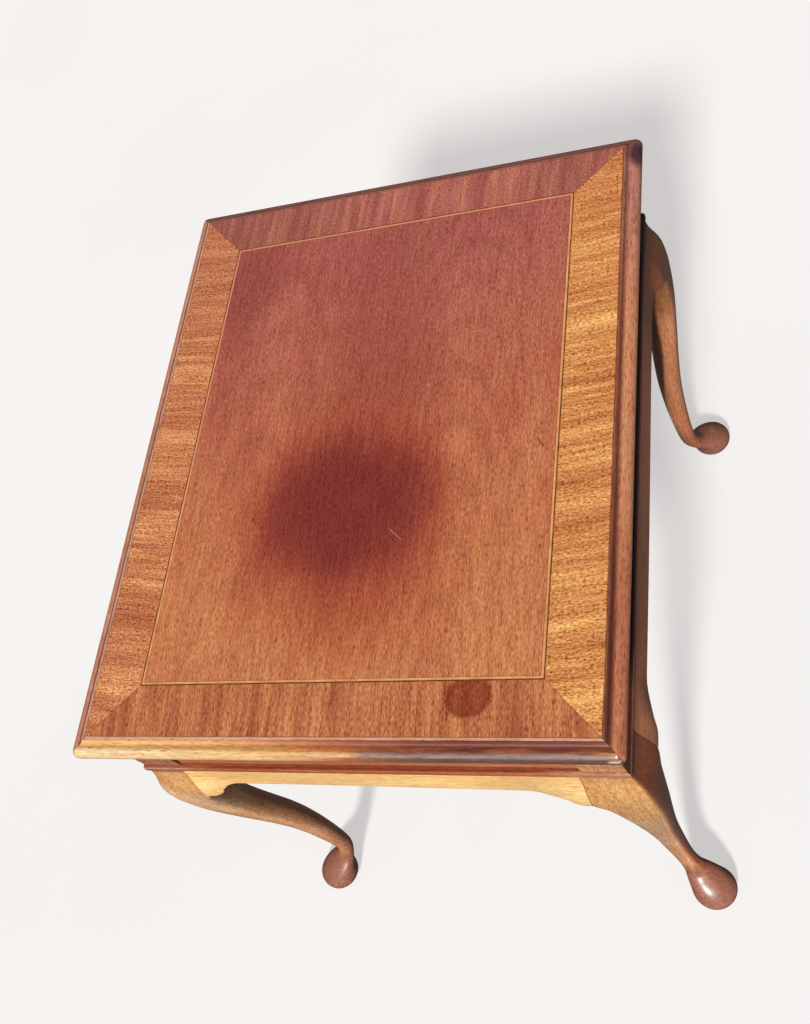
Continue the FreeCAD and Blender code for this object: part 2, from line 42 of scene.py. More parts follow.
H, HX, HY = 620.0, 250.0, 315.7
EDGE_OUT, EDGE_D, EDGE_R = 16.4, 20.4, 7.0
POST_E, INSET, INSET_FR, INSET_FL = -2.4, 44.0, 47.5, 39.5
MOULD_D0, MOULD_D1, MOULD_E = 102.5, 116.2, 0.9
APRON_D0, APRON_D1, BRACKET_D, APRON_T = 117.0, 160.5, 172.0, 20.0
CORE_D, POST_D1 = 19.0, 172.0
BAND_W, DARK_W, LIGHT_W = 50.75, 1.4, 2.0

LEG = [
    (117.0, 0.2, -43.8), (122.0, 0.8, -43.8), (128.0, 1.9, -43.8),
    (136.0, 4.1, -43.8), (146.0, 7.1, -43.8), (157.0, 9.7, -43.8),
    (166.0, 11.1, -43.8), (172.0, 11.7, -43.5), (176.5, 12.0, -42.0),
    (180.0, 12.2, -39.8), (183.0, 12.3, -37.6), (186.5, 12.4, -35.8),
    (191.5, 12.5, -34.6), (199.0, 12.4, -33.8), (210.0, 12.1, -32.8),
    (224.0, 11.5, -31.5), (240.0, 10.5, -30.5), (260.0, 8.6, -30.2),
    (280.0, 6.3, -30.7), (300.0, 3.9, -31.7), (320.0, 1.4, -33.0),
    (340.0, -1.2, -34.4), (360.0, -3.6, -35.9), (380.0, -5.9, -37.2),
    (400.0, -7.9, -38.0), (420.0, -9.5, -38.4), (440.0, -10.7, -38.4),
    (460.0, -11.6, -38.1), (480.0, -12.2, -37.5), (500.0, -12.7, -36.7),
    (518.0, -13.0, -35.8), (534.0, -13.0, -34.8), (546.0, -12.5, -33.9),
    (555.0, -11.6, -32.9), (562.0, -10.2, -31.8), (568.0, -8.0, -30.5),
    (573.0, -5.2, -29.1), (576.5, -2.2, -28.2), (579.0, 1.3, -27.5),
    (582.0, 6.8, -26.7), (585.0, 11.6, -25.9), (588.0, 15.8, -25.1),
    (591.0, 19.3, -24.5), (594.5, 22.7, -23.9), (599.0, 26.5, -23.4),
    (603.5, 28.8, -23.2), (607.5, 28.9, -23.0), (611.0, 27.7, -22.2),
    (614.5, 25.4, -20.4), (617.5, 22.3, -17.8), (620.0, 18.6, -14.6),
]
SQUARE = [
    (117.0, 18.0, 90.0, 90.0), (136.0, 13.0, 90.0, 90.0), (157.0, 9.0, 90.0, 90.0),
    (172.0, 7.2, 60.0, 60.0), (181.0, 6.2, 16.0, 16.0), (191.0, 5.4, 9.0, 9.0),
    (210.0, 4.5, 5.2, 5.0), (240.0, 3.6, 3.6, 3.2), (280.0, 3.0, 2.9, 2.6),
    (340.0, 2.7, 2.5, 2.3), (400.0, 2.45, 2.3, 2.15), (460.0, 2.25, 2.15, 2.05),
    (520.0, 2.1, 2.0, 2.0), (560.0, 2.0, 2.0, 2.0), (620.0, 2.0, 2.0, 2.0),
]


# ------------------------------------------------------------------ small maths
def monotone(xs, ys):
    n = len(xs)
    h = [xs[i + 1] - xs[i] for i in range(n - 1)]
    s = [(ys[i + 1] - ys[i]) / h[i] for i in range(n - 1)]
    m = [0.0] * n
    m[0], m[-1] = s[0], s[-1]
    for i in range(1, n - 1):
        if s[i - 1] * s[i] > 0:
            w1, w2 = 2 * h[i] + h[i - 1], h[i] + 2 * h[i - 1]
            m[i] = (w1 + w2) / (w1 / s[i - 1] + w2 / s[i])

    def f(x):
        if x <= xs[0]:
            return ys[0]
        if x >= xs[-1]:
            return ys[-1]
        i = 0
        while x > xs[i + 1]:
            i += 1
        t = (x - xs[i]) / h[i]
        a, b = (1 + 2 * t) * (1 - t) ** 2, t * (1 - t) ** 2
        c, e = t * t * (3 - 2 * t), t * t * (t - 1)
        return a * ys[i] + b * h[i] * m[i] + c * ys[i + 1] + e * h[i] * m[i + 1]

    return f


def smooth01(t):
    t = min(1.0, max(0.0, t))
    return t * t * (3 - 2 * t)


leg_out = monotone([r[0] for r in LEG], [r[1] for r in LEG])
leg_in = monotone([r[0] for r in LEG], [r[2] for r in LEG])
sq_o = monotone([r[0] for r in SQUARE], [r[1] for r in SQUARE])
sq_s = monotone([r[0] for r in SQUARE], [r[2] for r in SQUARE])
sq_i = monotone([r[0] for r in SQUARE], [r[3] for r in SQUARE])
FR_IN = monotone([117, 200, 240, 280, 330, 380, 430, 480, 560, 600, 612, 620],
                 [-3.5, -3.5, -4.0, -4.0, -2.5, -1.0, -0.2, -0.9, -1.5, -1.5, -0.6, 0.0])


def inner_plain(d, ei):
    return ei


def inner_fr(d, ei):
    return ei + FR_IN(d)


def inner_fl(d, ei):
    return max(ei, -INSET_FL) if d <= POST_D1 else max(ei, 0.2 - INSET_FL)


def arc_points(a, m, b, n):
    """Points on the circle through a, m and b, from a to b."""
    ax, ay, bx, by, cx, cy = a[0], a[1], m[0], m[1], b[0], b[1]
    k = 2 * (ax * (by - cy) + bx * (cy - ay) + cx * (ay - by))
    ux = ((ax * ax + ay * ay) * (by - cy) + (bx * bx + by * by) * (cy - ay)
          + (cx * cx + cy * cy) * (ay - by)) / k
    uy = ((ax * ax + ay * ay) * (cx - bx) + (bx * bx + by * by) * (ax - cx)
          + (cx * cx + cy * cy) * (bx - ax)) / k
    r = math.hypot(ax - ux, ay - uy)
    t0, t1 = math.atan2(ay - uy, ax - ux), math.atan2(cy - uy, cx - ux)
    tm = math.atan2(by - uy, bx - ux)
    two = 2 * math.pi
    if (tm - t0) % two > (t1 - t0) % two:       # the other way round
        sweep = -((t0 - t1) % two)
    else:
        sweep = (t1 - t0) % two
    return [(ux + r * math.cos(t0 + sweep * i / n), uy + r * math.sin(t0 + sweep * i / n))
            for i in range(n + 1)]


# ------------------------------------------------------------------ mesh pieces
def new_piece(name, verts, faces, sharp=35.0):
    """Mesh object from millimetre points, with its normals turned outwards."""
    me = bpy.data.meshes.new(name)
    me.from_pydata([Vector(v) * MM for v in verts], [], faces)
    me.validate()
    bm = bmesh.new()
    bm.from_mesh(me)
    bmesh.ops.remove_doubles(bm, verts=bm.verts, dist=1e-7)
    bmesh.ops.recalc_face_normals(bm, faces=bm.faces)
    bm.to_mesh(me)
    bm.free()
    me.polygons.foreach_set("use_smooth", [True] * len(me.polygons))
    me.set_sharp_from_angle(angle=math.radians(sharp))
    ob = bpy.data.objects.new(name, me)
    bpy.context.scene.collection.objects.link(ob)
    return ob


def loft(rings, cap=True):
    """Quads between closed rings of equal length, with flat ends."""
    n = len(rings[0])
    verts = [p for r in rings for p in r]
    faces = []
    for i in range(len(rings) - 1):
        a, b = i * n, (i + 1) * n
        for k in range(n):
            k2 = (k + 1) % n
            faces.append((a + k, a + k2, b + k2, b + k))
    if cap:
        faces.append(tuple(range(n - 1, -1, -1)))
        faces.append(tuple(range((len(rings) - 1) * n, len(rings) * n)))
    return verts, faces


def turned(p, side):
    """A point of the front strip, carried to another side of the table."""
    x, y, z = p
    return {"front": (x, y, z), "rear": (x, -y, z), "right": (-y, x, z),
            "left": (y, x, z)}[side]


def strip(name, side, section, out, r_corner, e_soft, wobble, seed):
    """Mitred strip of a border. section: (e, d) points in order round the strip,
    hx and hy come from the side; the corners are rounded most at the nose."""
    hx, hy = (HX, HY) if side in ("front", "rear") else (HY, HX)
    base = 0.0 if out is None else out
    hx, hy = hx + base, hy + base
    nose = max(p[0] for p in section)
    n_mid = 70
    rings = []
    steps = [("L", i / 6.0) for i in range(6)] + [("M", i / n_mid) for i in range(n_mid + 1)] \
        + [("R", (i + 1) / 6.0) for i in range(6)]
    for kind, t in steps:
        ring = []
        for e, d in section:
            rc = r_corner * smooth01((e - e_soft) / (nose - e_soft))
            X, Y = hx + e, hy + e
            if kind == "M":
                a = X - rc
                x, y = -a + 2 * a * t, -Y
                if wobble and e > 3.0:
                    fade = smooth01((a - abs(x)) / 40.0)
                    y += wobble * fade * smooth01((e - 3.0) / 4.0) * (
                        0.5 + 0.5 * mnoise.noise(Vector((x * 0.012, d * 0.05, seed))))
            else:
                # half of the corner's arc, from the mitre to the straight
                f = 1 - t if kind == "L" else t
                ang = f * math.pi / 4
                sx = -1 if kind == "L" else 1
                x = sx * (X - rc + rc * math.sin(ang))
                y = -(Y - rc + rc * math.cos(ang))
            ring.append(turned((x, y, H - d), side))
        rings.append(ring)
    verts, faces = loft(rings)
    return new_piece(name, verts, faces, 32)


def edge_section():
    c_d, a, b = 11.8, EDGE_OUT - 6.0, 11.8 - 3.3
    p = [(0, 0), (1.3, 0.0), (2.05, 0.02), (2.35, 0.1), (2.5, 0.32), (2.62, 0.8), (2.75, 1.3)]
    p += arc_points((2.75, 1.3), (3.9, 2.75), (6.0, 3.3), 8)[1:]
    p += [(6.0 + a * math.sin(t), c_d - b * math.cos(t))
          for t in [math.pi / 2 * i / 26 for i in range(1, 27)]]
    a2, b2 = EDGE_OUT - 10.2, EDGE_D - c_d
    p += [(10.2 + a2 * math.cos(t), c_d + b2 * math.sin(t))
          for t in [math.pi / 2 * i / 16 for i in range(1, 17)]]
    p += [(5.0, EDGE_D), (0, EDGE_D), (0, 12.0), (0, 5.0)]
    return p


def base_section():
    o = MOULD_E - POST_E
    key = [(1.45, MOULD_D0 + 0.75), (1.75, MOULD_D0 + 1.25), (2.45, MOULD_D0 + 1.9),
           (o - 0.15, MOULD_D0 + 3.6), (o, MOULD_D0 + 6.2), (o - 0.12, MOULD_D0 + 9.0),
           (o - 0.75, MOULD_D1 - 1.6), (1.7, MOULD_D1)]
    p = [(0, MOULD_D0), (0.7, MOULD_D0), (1.2, MOULD_D0 + 0.02), (1.38, MOULD_D0 + 0.2)]
    n = 5
    for i in range(len(key) - 1):               # Catmull-Rom through the key points
        p0, p1, p2, p3 = key[max(0, i - 1)], key[i], key[i + 1], key[min(len(key) - 1, i + 2)]
        for k in range(n):
            t = k / n
            q = []
            for j in (0, 1):
                q.append(0.5 * (2 * p1[j] + (p2[j] - p0[j]) * t
                                + (2 * p0[j] - 5 * p1[j] + 4 * p2[j] - p3[j]) * t * t
                                + (3 * p1[j] - p0[j] - 3 * p2[j] + p3[j]) * t ** 3))
            p.append((min(q[0], o), q[1]))
    p += [(1.7, MOULD_D1), (0.8, MOULD_D1), (0, MOULD_D1), (0, 109.0)]
    return p


def place(ob, node, mat, body="table"):
    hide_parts(node)
    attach(ob, body)
    ob.data.materials.clear()
    ob.data.materials.append(mat)
    return ob


def leg_mesh(name, sx, sy, inner_x=inner_plain, inset_x=INSET):
    n_quad = 28
    angles = []
    for q in range(4):
        for k in range(n_quad):
            s = -1 + 2.0 * k / n_quad
            angles.append(180 + 90 * q + 45 + 45 * math.copysign(abs(s) ** 1.7, s))
    rows = []
    for d in (CORE_D, 40.0, 60.0, 80.0, 95.0, 108.0, 116.9):
        rows.append((d, POST_E, -INSET, -INSET, 90, 90, 90))
    depths, d = [], APRON_D0
    while d < 620.0 - 1e-6:
        depths.append(d)
        d += 2.0 if d > 550 else (2.5 if d < 215 else 5.0)
    depths += [POST_D1, POST_D1 + 0.3, 618.6, 619.5, 620.0]
    for d in sorted(set(depths)):
        ei = -INSET if d <= POST_D1 else leg_in(d)
        ex = -inset_x if d <= POST_D1 else inner_x(d, ei)
        rows.append((d, leg_out(d), ei, ex, sq_o(d), sq_s(d), sq_i(d)))
    rings = []
    for d, eo, ei, ex, no, ns, ni in rows:
        c, a = (eo + ei) / 2, (eo - ei) / 2
        cx, ax = (eo + ex) / 2, (eo - ex) / 2
        ring = []
        for ang in angles:
            t = math.radians(ang)
            ct, st = math.cos(t), math.sin(t)
            n = no if ct >= -1e-9 and st >= -1e-9 else (ni if ct < 0 and st < 0 else ns)
            r = 1.0 / (abs(ct) ** n + abs(st) ** n) ** (1.0 / n)
            ring.append((sx * (HX + cx + ax * r * ct), sy * (HY + c + a * r * st), H - d))
        rings.append(ring)
    verts, faces = loft(rings)
    return new_piece(name, verts, faces, 50)


K = (73.0, 68.0, 63.6, 61.2, 60.2, 57.0)
Z = (APRON_D1, 161.4, 164.8, 164.4, 169.0, BRACKET_D)
APRON_CURVES = [
    arc_points((K[0], Z[0]), (K[1], Z[1]), (K[2], Z[2]), 14),
    [(K[2], Z[2]), (K[3], Z[3])],
    arc_points((K[3], Z[3]), (K[4], Z[4]), (K[5], Z[5]), 12),
]
SLIM, FULL = (44.0, 36.0), (57.0, 52.0)
# the brackets beside the right front leg are rubbed to one smooth sweep
RUBBED = monotone([47.0, 52.0, 56.0, 60.0, 63.6, 67.0, 70.5, 76.0],
                  [172.0, 171.8, 171.2, 169.4, 166.9, 163.7, 161.6, 160.5])


def apron_low(inset):
    """Depth of the apron's lower edge at a distance inside the field's edge."""
    for pts in APRON_CURVES:
        if pts[-1][0] <= inset <= pts[0][0]:
            for p, q in zip(pts, pts[1:]):
                if q[0] <= inset <= p[0]:
                    t = (p[0] - inset) / max(1e-9, p[0] - q[0])
                    return p[1] + (q[1] - p[1]) * t
    return APRON_D1 if inset > 70 else BRACKET_D


def apron_mesh(name, side, inset0, inset1, end0, end1, lean):
    """Apron between two legs. inset0 and inset1 place its joints, end0 and end1 say
    how the knee's swelling dies away, lean slopes the face at either end."""
    half, other = (HX, HY) if side in ("front", "rear") else (HY, HX)
    knots = [p[0] for p in APRON_CURVES[2]] + [K[3] + 0.05, K[2], K[2] + 0.05]
    knots += [p[0] for p in APRON_CURVES[0]]
    knots += [50.0, 54.0, 76.0, 80.0, 85.0, 90.0, 96.0, 103.0, 111.0, 120.0, 135.0, 150.0,
              170.0, 190.0, 220.0, 250.0, 280.0, 305.0]
    ss = {0.0, -half + inset0, half - inset1}
    for i in knots:
        if i < half - 1:
            if i > inset1:
                ss.add(round(half - i, 4))
            if i > inset0:
                ss.add(round(-(half - i), 4))

    def swell(s, d):
        a, b = end0 if s < 0 else end1
        t = smooth01((half - abs(s) - a) / b)
        k = smooth01((s + half * 0.4) / half)
        run = min(1.2, max(0.0, (d - APRON_D0) / (APRON_D1 - APRON_D0)))
        return leg_out(min(d, 181.0)) * (1 - t) + (lean[0] + (lean[1] - lean[0]) * k) * run * t

    rings = []
    for s in sorted(ss):
        low = apron_low(half - abs(s))
        if (end0 if s < 0 else end1) is FULL and half - abs(s) < 76.0:
            low = RUBBED(half - abs(s))
        r = 0.9
        ring = []
        n = 18
        for k in range(n + 1):
            d = APRON_D0 + (low - r - APRON_D0) * k / n
            ring.append((s, -other - swell(s, d), H - d))
        y0 = -other - swell(s, low)
        for k in range(1, 5):
            a = math.pi / 2 * k / 4
            ring.append((s, y0 + r * (1 - math.cos(a)), H - (low - r + r * math.sin(a))))
        yb = -other + APRON_T
        ring += [(s, yb - 6.0, H - low), (s, yb - 0.8, H - low), (s, yb, H - low + 0.8),
                 (s, yb, H - 140.0), (s, yb, H - APRON_D0), (s, yb - 10, H - APRON_D0)]
        rings.append([turned(p, side) for p in ring])
    verts, faces = loft(rings)
    return new_piece(name, verts, faces, 40)


# -------------------------------------------------------------------- materials
def lin(c):
    out = []
    for v in c:
        v = v / 255.0
        out.append(v / 12.92 if v <= 0.04045 else ((v + 0.055) / 1.055) ** 2.4)
    return (*out, 1.0)


class Mat:
    def __init__(s, name, rough=0.35, coat=0.0, coat_rough=0.15, spec=0.5, sheen=0.0):
        s.m = bpy.data.materials.new(name)
        s.m.use_nodes = True
        s.t = s.m.node_tree
        s.t.nodes.clear()
        s.o = s.t.nodes.new("ShaderNodeOutputMaterial")
        s.b = s.t.nodes.new("ShaderNodeBsdfPrincipled")
        s.t.links.new(s.b.outputs[0], s.o.inputs[0])
        s.b.inputs["Coat Weight"].default_value = coat
        s.b.inputs["Coat Roughness"].default_value = coat_rough
        s.b.inputs["Specular IOR Level"].default_value = spec
        s.b.inputs["Roughness"].default_value = rough
        s.b.inputs["Sheen Weight"].default_value = sheen
        tc = s.t.nodes.new("ShaderNodeTexCoord")
        s.p = tc.outputs["Object"]
        sep = s.t.nodes.new("ShaderNodeSeparateXYZ")
        s.t.links.new(s.p, sep.inputs[0])
        s.x, s.y, s.z = sep.outputs

    def put(s, socket, v):
        if isinstance(v, bpy.types.NodeSocket):
            s.t.links.new(v, socket)
        else:
            socket.default_value = v

    def op(s, kind, a, b=0.0, c=0.0, clamp=False):
        n = s.t.nodes.new("ShaderNodeMath")
        n.operation = kind
        n.use_clamp = clamp
        for sock, v in zip(n.inputs, (a, b, c)):
            s.put(sock, v)
        return n.outputs[0]

    def add(s, a, b): return s.op("ADD", a, b)
    def sub(s, a, b): return s.op("SUBTRACT", a, b)
    def mul(s, a, b): return s.op("MULTIPLY", a, b)
    def mx(s, a, b): return s.op("MAXIMUM", a, b)
    def mn(s, a, b): return s.op("MINIMUM", a, b)
    def ab(s, a): return s.op("ABSOLUTE", a)

    def lerp(s, a, b, t):
        return s.add(s.mul(s.sub(b, a), t), a)

    def step(s, v, lo, hi, a=0.0, b=1.0):
        """Smooth step of v from lo to hi, giving a to b."""
        n = s.t.nodes.new("ShaderNodeMapRange")
        n.interpolation_type = "SMOOTHSTEP"
        s.put(n.inputs["Value"], v)
        if lo < hi:
            n.inputs["From Min"].default_value, n.inputs["From Max"].default_value = lo, hi
            n.inputs["To Min"].default_value, n.inputs["To Max"].default_value = a, b
        else:
            n.inputs["From Min"].default_value, n.inputs["From Max"].default_value = hi, lo
            n.inputs["To Min"].default_value, n.inputs["To Max"].default_value = b, a
        return n.outputs[0]

    def lin01(s, v, lo, hi):
        n = s.t.nodes.new("ShaderNodeMapRange")
        s.put(n.inputs["Value"], v)
        n.inputs["From Min"].default_value, n.inputs["From Max"].default_value = lo, hi
        return n.outputs[0]

    def win(s, v, lo, hi, soft):
        """1 between lo and hi, 0 outside, with soft ends."""
        return s.mul(s.step(v, lo - soft, lo + soft), s.step(v, hi + soft, hi - soft))

    def vec(s, x, y, z):
        n = s.t.nodes.new("ShaderNodeCombineXYZ")
        for sock, v in zip(n.inputs, (x, y, z)):
            s.put(sock, v)
        return n.outputs[0]

    def scale(s, v, k, off=(0, 0, 0)):
        n = s.t.nodes.new("ShaderNodeVectorMath")
        n.operation = "MULTIPLY_ADD"
        s.put(n.inputs[0], v)
        n.inputs[1].default_value = k
        n.inputs[2].default_value = off
        return n.outputs[0]

    def noise(s, v, detail=2.0, rough=0.5, scale=1.0, dist=0.0):
        n = s.t.nodes.new("ShaderNodeTexNoise")
        n.inputs["Scale"].default_value = scale
        n.inputs["Detail"].default_value = detail
        n.inputs["Roughness"].default_value = rough
        n.inputs["Distortion"].default_value = dist
        s.put(n.inputs["Vector"], v)
        return n.outputs[0]

    def ramp(s, f, stops, mode="LINEAR"):
        n = s.t.nodes.new("ShaderNodeValToRGB")
        n.color_ramp.interpolation = mode
        e = n.color_ramp.elements
        e[0].position, e[0].color = stops[0][0], lin(stops[0][1])
        e[1].position, e[1].color = stops[-1][0], lin(stops[-1][1])
        for pos, col_ in stops[1:-1]:
            k = e.new(pos)
            k.color = lin(col_)
        s.put(n.inputs[0], f)
        return n.outputs[0]

    def mix(s, f, a, b, mode="MIX"):
        n = s.t.nodes.new("ShaderNodeMix")
        n.data_type = "RGBA"
        n.blend_type = mode
        n.clamp_factor = True
        s.put(n.inputs[0], f)
        for sock, v in ((n.inputs[6], a), (n.inputs[7], b)):
            s.put(sock, lin(v) if isinstance(v, tuple) and len(v) == 3 else v)
        return n.outputs[2]

    def tint(s, c, f):
        """Multiplies a colour by a number."""
        n = s.t.nodes.new("ShaderNodeVectorMath")
        n.operation = "SCALE"
        s.put(n.inputs[0], c)
        s.put(n.inputs["Scale"], f)
        return n.outputs[0]

    def finish(s, color, rough=None, height=None, bump=1.0, dist=0.0002, coat_bump=True):
        s.put(s.b.inputs["Base Color"], color)
        if rough is not None:
            s.put(s.b.inputs["Roughness"], rough)
        if height is not None:
            n = s.t.nodes.new("ShaderNodeBump")
            n.inputs["Strength"].default_value = bump
            n.inputs["Distance"].default_value = dist
            s.put(n.inputs["Height"], height)
            s.put(s.b.inputs["Normal"], n.outputs[0])
            if coat_bump:
                s.put(s.b.inputs["Coat Normal"], n.outputs[0])
        return s.m

    # ---- wood -------------------------------------------------------------
    def wood(s, u, v, w, seed=0.0, wavy=0.004, ripple=0.0014, grit=(75, 320),
             strand=(18, 200), band=(1.6, 26)):
        """Fields of a wood surface. u runs along the grain, v across it, w through.
        Each field is 0.5 on average."""
        bend = s.noise(s.scale(s.vec(u, v, w), (3.2, 7.0, 7.0), (seed, 0, 3.1)), 2, 0.5)
        rip = s.noise(s.scale(s.vec(u, v, w), (95, 60, 60), (0, seed, 1.1)), 1, 0.5)
        v2 = s.add(v, s.add(s.mul(s.sub(bend, 0.5), wavy * 4), s.mul(s.sub(rip, 0.5), ripple * 4)))
        q = s.vec(u, v2, w)
        f = {"v": v2, "q": q}
        f["band"] = s.noise(s.scale(q, (band[0], band[1], band[1]), (seed, 1.7, 0)), 4, 0.55)
        f["strand"] = s.noise(s.scale(q, (strand[0], strand[1], strand[1]), (seed, 4.4, 1)), 2, 0.5)
        f["grit"] = s.noise(s.scale(q, (grit[0], grit[1], grit[1]), (seed, 8.8, 7)), 1, 0.5)
        f["fibre"] = s.noise(s.scale(q, (60, 1100, 1100), (0, seed, 2)), 2, 0.6)
        f["dash"] = s.noise(s.scale(q, (150, 1300, 1300), (seed, 0, 5)), 1, 0.5)
        f["pore"] = s.step(f["dash"], 0.58, 0.68)
        return f

    def vary(s, color, n, k=(1.0, 1.6, 2.4)):
        """color times (1 + n k), with k per channel: dark parts redden, pale ones yellow."""
        g = s.t.nodes.new("ShaderNodeVectorMath")
        g.operation = "MULTIPLY_ADD"
        s.put(g.inputs[0], s.vec(n, n, n))
        g.inputs[1].default_value = k
        g.inputs[2].default_value = (1, 1, 1)
        h = s.t.nodes.new("ShaderNodeVectorMath")
        h.operation = "MAXIMUM"
        s.put(h.inputs[0], g.outputs[0])
        h.inputs[1].default_value = (0.08, 0.06, 0.04)
        r = s.t.nodes.new("ShaderNodeVectorMath")
        r.operation = "MULTIPLY"
        s.put(r.inputs[0], color)
        s.put(r.inputs[1], h.outputs[0])
        return r.outputs[0]

    def seg(s, a, b, width, wob=0.0006, seed=0.0):
        """Mask of a thin mark on the top from a to b, in mm."""
        ax, ay, bx, by = a[0] * MM, a[1] * MM, b[0] * MM, b[1] * MM
        L = math.hypot(bx - ax, by - ay)
        cx, cy = (bx - ax) / L, (by - ay) / L
        du = s.t.nodes.new("ShaderNodeVectorMath")
        du.operation = "DOT_PRODUCT"
        s.put(du.inputs[0], s.p)
        du.inputs[1].default_value = (cx, cy, 0)
        dv = s.t.nodes.new("ShaderNodeVectorMath")
        dv.operation = "DOT_PRODUCT"
        s.put(dv.inputs[0], s.p)
        dv.inputs[1].default_value = (-cy, cx, 0)
        u = s.sub(du.outputs["Value"], ax * cx + ay * cy)
        v = s.sub(dv.outputs["Value"], -ax * cy + ay * cx)
        if wob:
            nz = s.noise(s.scale(s.p, (60, 60, 60), (seed, seed, 0)), 1)
            v = s.add(v, s.mul(s.sub(nz, 0.5), wob * 4))
        w = width * MM
        line = s.step(s.ab(v), w, w * 0.25)
        ends = s.mul(s.step(u, 0, L * 0.25), s.step(u, L, L * 0.75))
        return s.mul(line, ends)

    def blob(s, px, py, c, r, soft):
        """Soft ellipse on the top: 1 inside, 0 outside."""
        dx = s.mul(s.sub(px, c[0] * MM), 1000.0 / r[0])
        dy = s.mul(s.sub(py, c[1] * MM), 1000.0 / r[1])
        d = s.op("SQRT", s.add(s.mul(dx, dx), s.mul(dy, dy)))
        return s.step(d, 1 + soft, 1 - soft)


def grain(m, f, grit=1.0, strand=0.6, fibre=0.35, pore=0.10, band=0.0):
    """Signed sum of the wood's fine light and dark lines, 0 on average."""
    g = m.mul(m.sub(f["grit"], 0.5), grit)
    g = m.add(g, m.mul(m.sub(f["strand"], 0.5), strand))
    g = m.add(g, m.mul(m.sub(f["fibre"], 0.5), fibre))
    if band:
        g = m.add(g, m.mul(m.sub(f["band"], 0.5), band))
    return m.sub(g, m.mul(m.sub(f["pore"], 0.12), pore))


def wood_height(m, f, pore=0.6, fibre=0.35, strand=0.2):
    return m.sub(m.add(m.mul(f["fibre"], fibre), m.mul(f["strand"], strand)),
                 m.mul(f["pore"], pore))


def edge_measures(m):
    """e and d of a point, in mm."""
    ex = m.mul(m.sub(m.ab(m.x), HX * MM), 1000.0)
    ey = m.mul(m.sub(m.ab(m.y), HY * MM), 1000.0)
    return m.mx(ex, ey), m.mul(m.sub(H * MM, m.z), 1000.0), ex, ey


GLOSS = 0.010
AP = 1 / 0.93       # upright front faces get a little less light than the top


def col(r, g, b, k=1.0):
    """The display colour that a surface shows, less what its gloss adds, times k."""
    out = []
    for v in lin((r, g, b))[:3]:
        v = max(0.0005, min(1.0, (v - GLOSS) * k))
        out.append(255 * (v * 12.92 if v <= 0.0031308 else 1.055 * v ** (1 / 2.4) - 0.055))
    return tuple(out)


